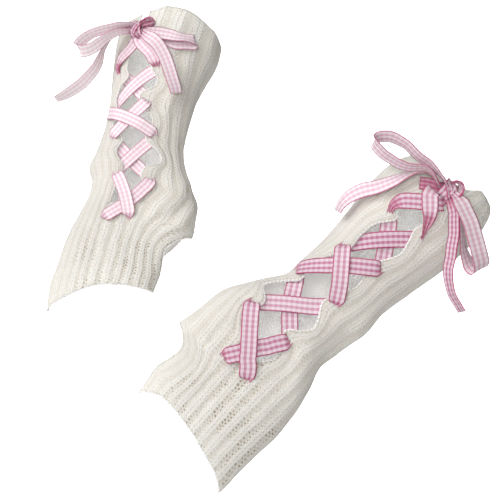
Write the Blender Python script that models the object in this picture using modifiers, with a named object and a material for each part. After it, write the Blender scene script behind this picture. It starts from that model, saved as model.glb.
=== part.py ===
# A pair of ribbed knitted arm warmers, in the hollow shape they have when worn.
# Each is a tube with a thumb opening and a long lace slit down the back of the hand and forearm.
# One ribbon is laced criss-cross through the slit and tied in a bow near the elbow end.
#
# World axes: +X right, +Z up, -Y towards the onlooker, who sees the backs of the hands.
# Each warmer has a frame of its own: "along" runs from the hem over the fingers to the cuff near
# the elbow, "across" runs towards the thumb, "out" rises from the back of the hand.
# A "share" is a place round the wall in quarters of it: 0 is the middle of the back, 1 the thumb
# side, 2 the middle of the palm, -1 the little-finger side.
# The tables are in millimetres, everything else is in metres.

from collections import namedtuple

import bmesh
import bpy
import numpy as np
from mathutils import Matrix, Vector

MM = 0.001
NAME = "arm_warmers"

# Knitted wall
FURROW_WALL = 1.3 * MM  # the cloth between two ribs
RIB_HEIGHT = 1.4 * MM
RIB_TOP_STARTS, RIB_TOP_ENDS = 0.3, 0.7  # shares of a rib's width
WALL = FURROW_WALL + RIB_HEIGHT
SLIT_RIBS = 2  # these ribs end at the bottom of the lace slit
SIDE_RIBS = 5  # from an edge of the slit to the side seam
PALM_RIBS = 10
SCALLOP_REACH = 22 * MM  # the slit's edge is pulled into scallops about this long each way
SEAM_GAP = 0.3 * MM
SEAM_DRIFT = 0.08  # how far round towards the palm the seams lie on the forearm, as a share
HAND_SQUARE, FOREARM_SQUARE = 2.6, 2.1  # 2 is an ellipse, more is squarer
HAND_ENDS, FOREARM_STARTS = 60 * MM, 150 * MM

# Ribbon
RIBBON_WIDTH = 11.5 * MM
RIBBON_THICK = 1 * MM
CLEAR, CLEAR_INSIDE = 0.6 * MM, 1.2 * MM  # between the ribbon and the wall it lies on
RIBBON_RISE = 1.45 * MM  # how far a band that crosses another lies over it
HUMP_FLAT, HUMP_ENDS = 10 * MM, 19 * MM  # from the place where they cross
BAND_STEPS = 10
PINCH = 0.45  # of the ribbon's width is left where it goes through the knit
PINCH_LENGTH = 7 * MM
STRAND_STEP = 4.5 * MM

# Knot
KNOT_HALF = Vector((6.2, 7.2, 4)) * MM  # across, along, out

# Placing: how far the arm rises from level, and how far its elbow end leans away
HOLD_ALONG = 215 * MM  # where the left forearm fills the tube: the origin
PAIR_STEP = Vector((-72, 161, 97.5)) * MM  # from the left hem's middle to the right hem's

Section = namedtuple("Section", "along thumb finger back palm")
Row = namedtuple("Row", "row along")
Line = namedtuple("Line", "share hem bottom cuff")
Opening = namedtuple("Opening", "along back palm")
Hole = namedtuple("Hole", "along across")
Fold = namedtuple("Fold", "along share length width height slant")
Point = namedtuple("Point", "right up near face tilt")

LEFT = {
    "name": "left",
    "side": 1,
    "rise": 38.5,
    "lean": 13.0,
    # Reach of the wall from the arm's straight line, and its depth over and under that line
    "sections": [
        Section(-10, 47, 48.5, 16, 16),
        Section(0, 49, 48, 16, 16),
        Section(20, 55, 45.5, 16.5, 17),
        Section(40, 63, 44, 17.5, 19),
        Section(55, 68.5, 43.3, 19, 22),
        Section(75, 68.5, 39, 21, 24),
        Section(95, 67, 33, 23, 25),
        Section(110, 62, 27.5, 25, 26),
        Section(122, 57, 25, 26, 26.5),
        Section(143, 48, 25, 27, 27),
        Section(157, 49, 26.5, 28, 28),
        Section(177, 50, 23.5, 30, 30),
        Section(205, 55, 24.5, 33, 33),
        Section(237, 62, 26.5, 36, 36),
        Section(257, 63.5, 26, 37, 37),
        Section(281, 57, 22, 34, 35),
        Section(300, 52, 14, 31, 32),
    ],
    # The two edges of the lace slit; below its bottom these are the ribs that meet them
    "thumb_edge": [
        Hole(-10, 14),
        Hole(45, 23),
        Hole(79, 28.5),
        Hole(86, 38.5),
        Hole(89, 42.5),
        Hole(95, 46),
        Hole(101, 44),
        Hole(107, 41.5),
        Hole(111.5, 43),
        Hole(115, 48),
        Hole(118.5, 51),
        Hole(124, 49),
        Hole(130, 45.5),
        Hole(136, 41.5),
        Hole(142, 37.5),
        Hole(149, 38),
        Hole(158, 41),
        Hole(163, 40.5),
        Hole(168, 38.5),
        Hole(179, 35.5),
        Hole(185, 33),
        Hole(198, 35.5),
        Hole(208, 36),
        Hole(213, 34.5),
        Hole(222, 29.5),
        Hole(225, 28.5),
        Hole(230, 34.5),
        Hole(234, 35.5),
        Hole(240, 35),
        Hole(250, 30),
        Hole(258, 27.5),
        Hole(268, 25),
        Hole(300, 27),
    ],
    "finger_edge": [
        Hole(-10, -6),
        Hole(45, 3),
        Hole(79, 8),
        Hole(84, 6),
        Hole(89, 4),
        Hole(92.5, 4.5),
        Hole(99, 7),
        Hole(103, 11.5),
        Hole(107.5, 15),
        Hole(112, 12.5),
        Hole(116, 8),
        Hole(120, 5.5),
        Hole(125, 3),
        Hole(129, 4.5),
        Hole(133, 6.5),
        Hole(136.5, 9.5),
        Hole(142.5, 13.5),
        Hole(146, 14),
        Hole(151, 12),
        Hole(156, 10),
        Hole(163, 8.5),
        Hole(170, 7),
        Hole(181, 10),
        Hole(187, 12.5),
        Hole(191, 13),
        Hole(196, 10.5),
        Hole(206, 6.5),
        Hole(210.5, 5.5),
        Hole(220.5, 8.5),
        Hole(226, 11),
        Hole(231, 13),
        Hole(236, 12),
        Hole(245, 9.5),
        Hole(250, 11),
        Hole(259, 18),
        Hole(268, 18.5),
        Hole(300, 12),
    ],
    "rows": [Row(0, 6), Row(2, 19), Row(7, 55), Row(10, 78), Row(31, 281)],
    "opening_row": 7,
    "bottom_row": 10,
    "lines": [
        Line(-2, 19.5, 78, 285),
        Line(-1.5, 16, 78, 286),
        Line(-1.25, 11, 78, 286),
        Line(-1, -1, 78, 287),
        Line(-0.6, 5, 79, 292),
        Line(-0.3, 7, 80, 291),
        Line(-0.1, 9, 78.5, 281),
        Line(0.05, 9.5, 76.5, 276),
        Line(0.3, 10, 81, 270),
        Line(0.6, 9, 79, 274),
        Line(1, -0.5, 78, 281),
        Line(1.25, 14, 78, 283),
        Line(1.5, 18.5, 78, 284),
        Line(2, 19.5, 78, 285),
    ],
    "thumb_opening": [
        Opening(16, 0, 0),
        Opening(26, 7, 9),
        Opening(34, 12, 15),
        Opening(42, 15, 20),
        Opening(48, 13, 20),
        Opening(52, 8, 17),
        Opening(55, 0, 13),
        Opening(65, 0, 0),
    ],
    "thumb_holes": [
        Hole(60, 29.5),
        Hole(104, 47),
        Hole(145, 43),
        Hole(184.5, 37),
        Hole(223.5, 34),
    ],
    "finger_holes": [
        Hole(63, 4.5),
        Hole(106.5, 7.5),
        Hole(148, 7),
        Hole(193, 6),
        Hole(229, 5),
    ],
    "knot": Hole(266.5, 21.3),
    "thumb_route": [Hole(229, 36), Hole(235.5, 35), Hole(243, 29.5), Hole(250.5, 22.5), Hole(259, 16)],
    "finger_route": [Hole(237, 10), Hole(244.5, 15), Hole(251, 22), Hole(255.5, 26.5), Hole(258.8, 27)],
    "top_lace_starts": "finger",
    "folds": [
        Fold(100, -0.55, 60, 9, 2.2, 30),
        Fold(128, -0.75, 46, 7, -2.0, 24),
        Fold(150, -0.7, 60, 8, 2.0, 12),
        Fold(66, 0.75, 50, 9, 2.0, -28),
        Fold(110, 1.25, 60, 10, 2.2, 20),
        Fold(190, -1.1, 70, 9, -1.8, -8),
        Fold(236, 0.72, 60, 8, 1.8, 6),
        Fold(250, -0.55, 46, 6, 1.8, -20),
        Fold(60, 1.7, 70, 10, 1.8, 10),
        Fold(205, 1.6, 80, 11, -1.8, -12),
    ],
    "rib_sway": (70, 90, 3.0),  # starts, length, reach
    "strands": {
        "bow_loop_up": [
            Point(-2.5, 5, 6, 50, 82),
            Point(-9, 12.5, 9.5, 45, 76),
            Point(-16.5, 19.5, 10, 45, 64),
            Point(-22, 23, 11, 45, 63),
            Point(-26.5, 27, 11.5, 46, 62),
            Point(-31, 31.5, 12, 50, 60),
            Point(-36.5, 35, 12, 60, 56),
            Point(-43, 38, 12, 78, 50),
            Point(-47.5, 38.5, 11.5, 88, 49),
            Point(-52, 38, 10.5, 90, 50),
            Point(-55.5, 36, 9.5, 84, 52),
            Point(-55, 33, 8.5, 70, 54),
            Point(-52, 29.5, 8, 52, 55),
            Point(-48, 25.5, 7.5, 48, 55),
            Point(-42.5, 22, 7, 54, 57),
            Point(-36.5, 18.5, 7, 60, 60),
            Point(-30.5, 16.5, 7, 72, 63),
            Point(-26.5, 16, 7, 86, 66),
            Point(-21.5, 16, 8, 90, 70),
            Point(-16.5, 15, 8.5, 70, 76),
            Point(-12, 12, 8.5, 50, 84),
            Point(-8, 7.5, 6.5, 46, 84),
            Point(-5, 3.5, 3.5, 46, 82),
        ],
        "bow_loop_down": [
            Point(2, -2, 3.5, 28, -20),
            Point(5.5, -5.5, 6.5, 28, -22),
            Point(9, -11, 10.5, 24, -26),
            Point(12, -17.5, 11.5, 20, -27),
            Point(15.5, -25.5, 13, 18, -27),
            Point(17.5, -33, 14, 16, -26),
            Point(20, -42, 14, 17, -25),
            Point(22, -49.5, 13.5, 19, -25),
            Point(23.5, -55.5, 11.5, 23, -25),
            Point(23, -59.5, 8, 27, -27),
            Point(20, -60.5, 4, 28, -35),
            Point(16.5, -57.5, 1.5, 28, -42),
            Point(14, -51.5, 0.5, 25, -50),
            Point(12, -44.5, 0, 20, -60),
            Point(11, -36.5, 0, 16, -68),
            Point(10, -26.5, 0.5, 14, -74),
            Point(9, -18, 1, 14, -76),
            Point(7, -10, 1, 16, -76),
            Point(4.5, -5.5, 1, 16, -78),
        ],
        "bow_tail_side": [
            Point(-6.5, 1, -0.5, 50, -84),
            Point(-9.5, 6.5, -0.5, 50, -86),
            Point(-12.5, 11, -2, 56, -86),
            Point(-17, 13.5, -3, 80, -82),
            Point(-22, 14, -3, 95, -76),
            Point(-28, 12, -3, 105, -72),
            Point(-33, 10, -3, 112, -64),
            Point(-39, 7, -3, 112, -52),
            Point(-46.5, 4, -4, 106, -42),
            Point(-54, 1.5, -5, 102, -34),
            Point(-61.5, 0, -6, 105, -30),
            Point(-69, -3, -7, 113, -36),
            Point(-75, -7, -8, 124, -48),
            Point(-79, -11.5, -9, 132, -58),
            Point(-81.5, -16.5, -9.5, 138, -66),
        ],
        "bow_tail_down": [
            Point(1, -6.5, 3, 10, 30),
            Point(2.5, -10.5, 3.5, 8, 40),
            Point(4, -17, 5, 4, 56),
            Point(4, -24.5, 5.5, -2, 54),
            Point(4, -33.5, 5.5, -6, 54),
            Point(2.5, -42.5, 5.5, -8, 53),
            Point(1.5, -51, 5, -8, 54),
            Point(0, -58.5, 4.5, -5, 57),
            Point(0, -65.5, 4, 6, 60),
            Point(1, -71.5, 3.5, 14, 64),
            Point(3, -78.5, 3, 22, 66),
            Point(6.5, -84.5, 2.5, 28, 67),
            Point(10.5, -91, 2, 32, 68),
        ],
    },
}

RIGHT = {
    "name": "right",
    "side": -1,
    "rise": 75.5,
    "lean": 23.5,
    "sections": [
        Section(-30, 38, 40, 16, 16),
        Section(-15, 39.5, 43, 16, 16),
        Section(5, 40.5, 45.5, 16.5, 16.5),
        Section(23, 40.5, 44.5, 17, 17.5),
        Section(38, 43, 44.3, 17.5, 19),
        Section(52, 49, 43, 18.5, 21),
        Section(62, 54.5, 41, 19.5, 22.5),
        Section(70, 58.5, 39.5, 20.5, 23.5),
        Section(78, 60, 38, 21, 24.5),
        Section(91, 58, 36.2, 22.5, 25),
        Section(103, 55, 37.3, 24, 26),
        Section(116, 48, 41.5, 25.5, 26.5),
        Section(126, 41.5, 41.3, 26, 27),
        Section(139, 35.3, 40.6, 26.5, 27),
        Section(151, 32.3, 40.1, 27.5, 27.5),
        Section(176, 31.4, 42, 30, 30),
        Section(199, 31.8, 46, 33, 33),
        Section(219, 35, 49.5, 36, 35),
        Section(244, 40.6, 52.5, 37.5, 37),
        Section(258, 40, 49, 37, 37),
        Section(285, 38, 44, 35, 35),
    ],
    "thumb_edge": [
        Hole(-25, 4),
        Hole(40, 3.5),
        Hole(87, 3.5),
        Hole(91, 7.5),
        Hole(95, 11),
        Hole(98, 13),
        Hole(101.5, 14.5),
        Hole(104.5, 12),
        Hole(107, 6.5),
        Hole(109.5, 4.5),
        Hole(115.5, 5),
        Hole(118.3, 7),
        Hole(122, 12.5),
        Hole(126, 17.5),
        Hole(129.5, 17),
        Hole(134, 13.5),
        Hole(137, 9.5),
        Hole(139.5, 4),
        Hole(142, 1),
        Hole(145.5, -1),
        Hole(150, 0),
        Hole(155, 2),
        Hole(161, 1),
        Hole(165, -1.5),
        Hole(168.5, -6),
        Hole(171, -10),
        Hole(175, -13.5),
        Hole(180, -15),
        Hole(184, -14),
        Hole(187, -9),
        Hole(190.5, -5.5),
        Hole(194.5, -4),
        Hole(198, -4),
        Hole(201, -6.5),
        Hole(204, -10.5),
        Hole(208, -12.5),
        Hole(212, -14.5),
        Hole(217, -19),
        Hole(220.5, -25),
        Hole(224, -28.5),
        Hole(238, -29),
        Hole(248, -28),
        Hole(285, -25),
    ],
    "finger_edge": [
        Hole(-25, -14),
        Hole(40, -17),
        Hole(79, -16.5),
        Hole(88, -15.5),
        Hole(94, -15.5),
        Hole(101, -14),
        Hole(107, -12.5),
        Hole(112, -13.5),
        Hole(116.5, -14.5),
        Hole(118.5, -17),
        Hole(121, -19.5),
        Hole(124.5, -21.5),
        Hole(128, -22.5),
        Hole(134, -21),
        Hole(137, -20),
        Hole(141, -22),
        Hole(145.5, -24),
        Hole(149, -29.5),
        Hole(152, -31.5),
        Hole(157, -32.5),
        Hole(169.5, -33),
        Hole(177, -35.5),
        Hole(187, -35),
        Hole(192, -33),
        Hole(197, -30.5),
        Hole(203, -33),
        Hole(206.5, -34),
        Hole(215, -34.5),
        Hole(224, -32.8),
        Hole(238, -33),
        Hole(248, -34),
        Hole(285, -36),
    ],
    "rows": [Row(0, 8), Row(3, 30), Row(9, 76.5), Row(10, 84), Row(31, 262)],
    "opening_row": 9,
    "bottom_row": 10,
    "lines": [
        Line(-2, 29, 83, 262),
        Line(-1.7, 22, 81, 258),
        Line(-1.5, 12, 80, 254),
        Line(-1.3, 3, 79, 251),
        Line(-1.15, -7, 78.5, 249),
        Line(-1, -19, 78, 249),
        Line(-0.7, -12, 78, 253),
        Line(-0.5, -5, 79, 257),
        Line(-0.35, 0, 81, 262),
        Line(-0.15, 6.5, 87, 268),
        Line(0.1, 11, 88, 268.5),
        Line(0.4, 14, 86, 264),
        Line(0.7, 16, 85, 259),
        Line(1, 19.5, 85, 257.5),
        Line(1.1, 26, 85, 258),
        Line(1.25, 30, 85, 259),
        Line(1.5, 31.5, 85, 260),
        Line(2, 29, 83, 262),
    ],
    "thumb_opening": [
        Opening(29, 0, 0),
        Opening(41, 7, 9),
        Opening(48, 12, 15),
        Opening(56, 16, 22),
        Opening(63, 15, 24),
        Opening(71, 9, 22),
        Opening(76.5, 0, 19),
        Opening(92, 0, 0),
    ],
    "thumb_holes": [
        Hole(70.5, 3.5),
        Hole(109.5, 13.5),
        Hole(148, 6.5),
        Hole(177, -7),
        Hole(207.5, -8),
    ],
    "finger_holes": [
        Hole(65, -17),
        Hole(108.5, -17.5),
        Hole(138, -28),
        Hole(165, -37),
        Hole(200, -38),
    ],
    "knot": Hole(237.6, -30.4),
    "thumb_route": [Hole(217, -15.5), Hole(223, -22.5), Hole(228, -27)],
    "finger_route": [Hole(207.5, -39), Hole(213.5, -38), Hole(218, -35), Hole(223.5, -32), Hole(228.5, -31)],
    "top_lace_starts": "thumb",
    "folds": [
        Fold(96, 0.45, 56, 6, 2.6, 38),
        Fold(86, 0.72, 52, 6, 2.4, 34),
        Fold(106, 0.2, 44, 5, -2.0, 34),
        Fold(150, 0.75, 80, 8, 2.0, -4),
        Fold(200, 0.35, 70, 7, 2.2, 4),
        Fold(235, 0.1, 50, 6, 1.8, 2),
        Fold(238, 0.62, 54, 7, 2.0, -3),
        Fold(118, -0.8, 36, 7, 2.0, 70),
        Fold(70, 1.5, 70, 10, 1.8, 12),
        Fold(200, 1.7, 80, 11, -1.8, -10),
    ],
    "rib_sway": (52, 80, 5.0),
    "strands": {
        "bow_loop_side": [
            Point(-4, 3.5, 3, 98, 60),
            Point(-10.5, 2.5, 7, 98, 60),
            Point(-18, 0.5, 10, 100, 58),
            Point(-25.5, -1.5, 12, 102, 57),
            Point(-32.5, -3.5, 13, 105, 56),
            Point(-38.5, -6, 13.5, 112, 54),
            Point(-44, -9.5, 13.5, 122, 50),
            Point(-48.5, -13.5, 12.5, 126, 46),
            Point(-50, -17.5, 11, 118, 40),
            Point(-48, -20, 10, 105, 34),
            Point(-43.5, -19.5, 9.5, 98, 34),
            Point(-37.5, -17, 9, 104, 38),
            Point(-32, -13, 9, 120, 46),
            Point(-27.5, -9.5, 9, 132, 56),
            Point(-23, -6.5, 8.5, 126, 62),
            Point(-18.5, -4, 7.5, 112, 64),
            Point(-12.5, -2, 5.5, 104, 64),
            Point(-5.5, 0, 2, 100, 60),
        ],
        "bow_loop_flat": [
            Point(6, -1.5, 3, 85, -20),
            Point(12.5, -3.5, 5, 80, -20),
            Point(20, -4.5, 6, 80, -22),
            Point(28, -5.5, 7, 80, -30),
            Point(35, -7.5, 9, 84, -42),
            Point(41.5, -8.5, 9, 94, -52),
            Point(47.5, -9.5, 8, 104, -40),
            Point(51, -11, 6, 111, -12),
            Point(49, -12.5, 4, 110, -8),
            Point(42.5, -12.5, 4, 106, -14),
            Point(34, -12, 6, 96, -20),
            Point(25.5, -8.5, 4.5, 88, -22),
            Point(16.5, -5.5, 3, 86, -22),
            Point(8.5, -3.5, 1, 86, -20),
        ],
        "bow_tail_side": [
            Point(-4.5, -2, -1.5, 70, -66),
            Point(-9, -2.5, -2.5, 75, -68),
            Point(-14, -3, -3, 75, -70),
            Point(-19.5, -4.5, -3.5, 70, -74),
            Point(-23, -7, -4, 50, -78),
            Point(-26, -11, -4, 35, -80),
            Point(-29, -16, -4, 30, -82),
            Point(-31.5, -21, -4, 28, -80),
            Point(-33.5, -27, -4, 24, -74),
            Point(-36.5, -33, -4, 34, -62),
            Point(-41.5, -39, -4.5, 44, -54),
            Point(-47, -45, -5, 48, -50),
            Point(-53.5, -50, -5.5, 50, -50),
            Point(-60, -54, -6.5, 56, -54),
            Point(-66.5, -57.5, -7.5, 64, -62),
            Point(-71.5, -59.5, -8, 70, -68),
        ],
        "bow_tail_down": [
            Point(5, -3.5, 5, 60, -20),
            Point(9, -6.5, 8.5, 52, -18),
            Point(13.5, -9.5, 11.5, 44, -14),
            Point(18, -14, 13, 36, -12),
            Point(21.5, -19.5, 13, 30, -12),
            Point(25, -26.5, 13, 24, -14),
            Point(28, -35, 14, 20, -18),
            Point(31, -44.5, 15.5, 18, -24),
            Point(33.5, -52, 17, 14, -30),
            Point(34.5, -57, 17.5, 12, -34),
        ],
    },
}

KNIT_COLOUR = (0.86, 0.84, 0.78, 1)
RIBBON_COLOUR = (0.88, 0.52, 0.64, 1)
KNOT_COLOUR = (0.82, 0.4, 0.55, 1)


def smooth(xs, ys, at):
    """A curve through the points that never swings past them."""
    xs, ys = np.asarray(xs, float), np.asarray(ys, float)
    gaps = np.diff(xs)
    slopes = np.diff(ys) / gaps
    tangents = np.zeros(len(xs))
    tangents[0], tangents[-1] = slopes[0], slopes[-1]
    before, after = slopes[:-1], slopes[1:]
    same = before * after > 0
    both = np.where(same, before + after, 1)
    tangents[1:-1] = np.where(same, 2 * before * after / both, 0)
    return hermite(xs, ys, tangents, at)


def rounded(xs, ys, at):
    """A rounder curve through the points: it may swing a little past them."""
    return hermite(xs, ys, np.gradient(ys, xs), at)


def hermite(xs, ys, tangents, at):
    at = np.clip(at, xs[0], xs[-1])
    i = np.clip(np.searchsorted(xs, at) - 1, 0, len(xs) - 2)
    gap = xs[i + 1] - xs[i]
    t = (at - xs[i]) / gap
    return (
        (1 + 2 * t) * (1 - t) ** 2 * ys[i]
        + t * (1 - t) ** 2 * gap * tangents[i]
        + t * t * (3 - 2 * t) * ys[i + 1]
        + t * t * (t - 1) * gap * tangents[i + 1]
    )


def column(rows, name, at):
    """A table's named column, in metres, at this place in its first column."""
    first = rows[0]._fields[0]
    scale = MM if first == "along" else 1
    places = [getattr(row, first) * scale for row in rows]
    return smooth(places, [getattr(row, name) * MM for row in rows], at)


def ease(at, start, end):
    t = np.clip((at - start) / (end - start), 0, 1)
    return t * t * (3 - 2 * t)


def section_at(arm, along):
    """Middle, half width, depth at the back and palm, and squareness of the wall's inner face."""
    thumb = column(arm["sections"], "thumb", along) - WALL
    finger = column(arm["sections"], "finger", along) - WALL
    back = column(arm["sections"], "back", along) - WALL
    palm = column(arm["sections"], "palm", along) - WALL
    square = HAND_SQUARE + (FOREARM_SQUARE - HAND_SQUARE) * ease(along, HAND_ENDS, FOREARM_STARTS)
    return (thumb - finger) / 2, (thumb + finger) / 2, back, palm, square


def quarter(half, deep, square, steps=32):
    """Angles over one quarter of a section, and the length of wall behind each of them."""
    angles = np.linspace(0, np.pi / 2, steps + 1)
    power = (2 / np.asarray(square))[..., None]
    x = half[..., None] * np.sin(angles) ** power
    y = deep[..., None] * np.maximum(np.cos(angles), 0) ** power
    lengths = np.hypot(np.diff(x, axis=-1), np.diff(y, axis=-1))
    behind = np.concatenate([np.zeros_like(x[..., :1]), np.cumsum(lengths, axis=-1)], axis=-1)
    return angles, behind


def angle_at(half, deep, square, share):
    angles, behind = quarter(half, deep, square)
    behind = behind / behind[..., -1:]
    i = np.clip((behind < share[..., None]).sum(axis=-1) - 1, 0, len(angles) - 2)[..., None]
    low = np.take_along_axis(behind, i, -1)[..., 0]
    high = np.take_along_axis(behind, i + 1, -1)[..., 0]
    part = np.clip((share - low) / np.maximum(high - low, 1e-12), 0, 1)
    return angles[i[..., 0]] + part * (angles[1] - angles[0])


def share_at(arm, along, across):
    """The share of a place on the back that lies this far across."""
    middle, half, back, _, square = section_at(arm, along)
    reach = np.clip((across - middle) / half, -0.985, 0.985)
    angle = np.arcsin(np.abs(reach) ** (square / 2))
    angles, behind = quarter(half, back, square)
    place = angle / (angles[1] - angles[0])
    i = np.clip(place.astype(int), 0, len(angles) - 2)[..., None]
    low = np.take_along_axis(behind, i, -1)[..., 0]
    high = np.take_along_axis(behind, i + 1, -1)[..., 0]
    length = low + (high - low) * (place - i[..., 0])
    return np.sign(reach) * length / behind[..., -1]


def quarter_length(arm, along, palm_side=False):
    _, half, back, palm, square = section_at(arm, along)
    return quarter(half, palm if palm_side else back, square)[1][..., -1]


def bare_point(arm, along, share):
    """A point of the wall's inner face without its folds, in the arm's own frame."""
    middle, half, back, palm, square = section_at(arm, along)
    share = (share + 2) % 4 - 2
    on_palm = np.abs(share) > 1
    deep = np.where(on_palm, palm, back)
    part = np.where(on_palm, 2 - np.abs(share), np.abs(share))
    angle = angle_at(half, deep, square, part)
    across = middle + np.sign(share) * half * np.sin(angle) ** (2 / square)
    out = np.where(on_palm, -1, 1) * deep * np.maximum(np.cos(angle), 0) ** (2 / square)
    return np.stack([arm["side"] * across, out, along + 0 * across], axis=-1)


def fold_height(arm, along, share):
    """Soft ridges and troughs, each a long bump with tapering ends."""
    height = np.zeros(np.broadcast(along, share).shape)
    for fold in arm["folds"]:
        centre = fold.along * MM
        size = quarter_length(arm, np.full(1, centre), abs(fold.share) > 1)[0]
        around = ((share - fold.share + 2) % 4 - 2) * size
        slant = np.radians(fold.slant)
        run = (along - centre) * np.cos(slant) + around * np.sin(slant)
        off = around * np.cos(slant) - (along - centre) * np.sin(slant)
        taper = np.exp(-((run / (fold.length * MM / 2)) ** 4))
        height += fold.height * MM * taper * np.exp(-((off / (fold.width * MM)) ** 2))
    return height


def wall_point(arm, along, share, out):
    """A point this far out from the wall's inner face, which has its folds."""
    along, share, out = np.broadcast_arrays(
        np.asarray(along, float), np.asarray(share, float), np.asarray(out, float)
    )
    step, turn = 0.5 * MM, 0.01
    centre = bare_point(arm, along, share)
    forward = bare_point(arm, along + step, share) - bare_point(arm, along - step, share)
    sideways = bare_point(arm, along, share + turn) - bare_point(arm, along, share - turn)
    normal = np.cross(forward, sideways) * arm["side"]
    normal /= np.linalg.norm(normal, axis=-1, keepdims=True)
    return centre + normal * (out + fold_height(arm, along, share))[..., None]


def edge_share(arm, along, edge):
    return share_at(arm, along, column(arm[edge], "across", along))


def edge_trend(arm, along, edge):
    """The edge of the slit without its scallops."""
    steps = np.linspace(-1, 1, 9) * SCALLOP_REACH
    return sum(edge_share(arm, along + step, edge) for step in steps) / len(steps)


def seam_share(arm, along, edge, on_palm=False):
    """The seam on this side. On the thumb side its two lips part for the thumb."""
    drift = SEAM_DRIFT * ease(along, HAND_ENDS, FOREARM_STARTS)
    lip = SEAM_GAP / 2 + 0 * along
    if edge == "thumb_edge":
        lip = lip + column(arm["thumb_opening"], "palm" if on_palm else "back", along)
    shift = lip / quarter_length(arm, along, on_palm)
    share = 1 + drift + (shift if on_palm else -shift)
    return share if edge == "thumb_edge" else -share


def sway(arm, along):
    """The ribs wave sideways between the thumb opening and the slit."""
    starts, length, reach = (value * MM for value in arm["rib_sway"])
    part = np.clip((along - starts) / length, 0, 1)
    return reach * np.sin(2 * np.pi * part) * np.sin(np.pi * part)


def side_share(arm, along, rib, edge):
    """rib runs from 0 at the slit to 1 at the seam: the scallops fade away from the slit."""
    start, trend = edge_share(arm, along, edge), edge_trend(arm, along, edge)
    seam = seam_share(arm, along, edge)
    share = trend + (seam - trend) * rib + (start - trend) * (1 - rib) ** 3
    if edge == "thumb_edge":
        share = share - sway(arm, along) * np.sin(np.pi * rib) / quarter_length(arm, along)
    return share


def middle_share(arm, along, rib):
    """rib runs from 0 to 1 between the two ribs that become the edges of the slit."""
    start, end = edge_share(arm, along, "finger_edge"), edge_share(arm, along, "thumb_edge")
    return start + (end - start) * rib


def palm_share(arm, along, rib):
    """rib runs from 0 at the thumb seam to 1 at the little-finger seam."""
    start = seam_share(arm, along, "thumb_edge", True)
    end = seam_share(arm, along, "finger_edge", True) + 4
    return start + (end - start) * rib


def place_row(arm, row, share):
    """How far along a place of this row lies: hem, slit bottom and cuff aren't straight."""
    share = (share + 2) % 4 - 2
    stops = arm["rows"]
    rows = [stop.row for stop in stops]
    level = np.interp(row, rows, [stop.along * MM for stop in stops])
    hem = column(arm["lines"], "hem", share) - stops[0].along * MM
    cuff = column(arm["lines"], "cuff", share) - stops[-1].along * MM
    bottom_level = np.interp(arm["bottom_row"], rows, [stop.along * MM for stop in stops])
    bottom = column(arm["lines"], "bottom", share) - bottom_level
    level = level + hem * np.maximum(0, 1 - row / arm["opening_row"]) ** 2
    below, above = arm["opening_row"] - 1, arm["bottom_row"] + 6
    near_bottom = np.interp(row, [below, arm["bottom_row"], above], [0, 1, 0])
    from_cuff = (row - 0.8 * rows[-1]) / (0.2 * rows[-1])
    return level + bottom * near_bottom + cuff * np.maximum(0, from_cuff) ** 2


def rib_columns(ribs):
    """Outer columns: a furrow, then the two edges of each rib's flat top; and their height."""
    places, heights = [], []
    for rib in range(ribs):
        places += [rib, rib + RIB_TOP_STARTS, rib + RIB_TOP_ENDS]
        heights += [FURROW_WALL, WALL, WALL]
    return np.array(places + [ribs]) / ribs, np.array(heights + [FURROW_WALL])


def strip_points(arm, ribs, share_of, last_row=None):
    """Outer and inner points of a strip of wall, in rows from the hem."""
    last_row = arm["rows"][-1].row if last_row is None else last_row
    rows = np.arange(last_row + 1)[:, None].astype(float)
    places, heights = rib_columns(ribs)
    found = []
    for columns, out in ((places, heights), (np.arange(ribs + 1) / ribs, np.zeros(ribs + 1))):
        columns = columns[None, :]
        along = 60 * MM + 0 * (rows + columns)
        for _ in range(4):
            along = place_row(arm, rows, share_of(arm, along, columns))
        found.append(wall_point(arm, along, share_of(arm, along, columns), out[None, :]))
    return found


class Wall:
    """Builds one closed panel from strips, which are one where they share a joint."""

    def __init__(self):
        self.mesh = bmesh.new()
        self.made = {}

    def vertex(self, key, point):
        if key not in self.made:
            self.made[key] = self.mesh.verts.new(point)
        return self.made[key]

    def strip(self, tag, outer, inner, joints=(), joined_rows=-1, closed=(), rims=(0, -1)):
        """joints: (column, name) of the columns shared up to a row; closed: (column, first row)."""
        names = dict(joints)

        def key(layer, row, col, last):
            name = names.get(0 if col == 0 else -1 if col == last else None)
            if name is not None and row <= joined_rows:
                return (name, layer, row)
            return (tag, layer, row, col)

        grids = []
        for layer, points in (("outer", outer), ("inner", inner)):
            last = points.shape[1] - 1
            grid = [
                [self.vertex(key(layer, row, col, last), points[row, col]) for col in range(last + 1)]
                for row in range(len(points))
            ]
            for low, high in zip(grid, grid[1:]):
                for col in range(last):
                    self.mesh.faces.new((low[col], low[col + 1], high[col + 1], high[col]))
            grids.append(grid)
        top, under = grids
        for row in rims:
            for rib in range(len(under[row]) - 1):
                edge = top[row][3 * rib : 3 * rib + 4]
                self.mesh.faces.new((*edge, under[row][rib + 1], under[row][rib]))
        for col, first_row in closed:
            for row in range(first_row, len(top) - 1):
                corners = (top[row][col], top[row + 1][col], under[row + 1][col], under[row][col])
                self.mesh.faces.new(corners)

    def finish(self):
        bmesh.ops.recalc_face_normals(self.mesh, faces=self.mesh.faces)
        return self.mesh


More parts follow.
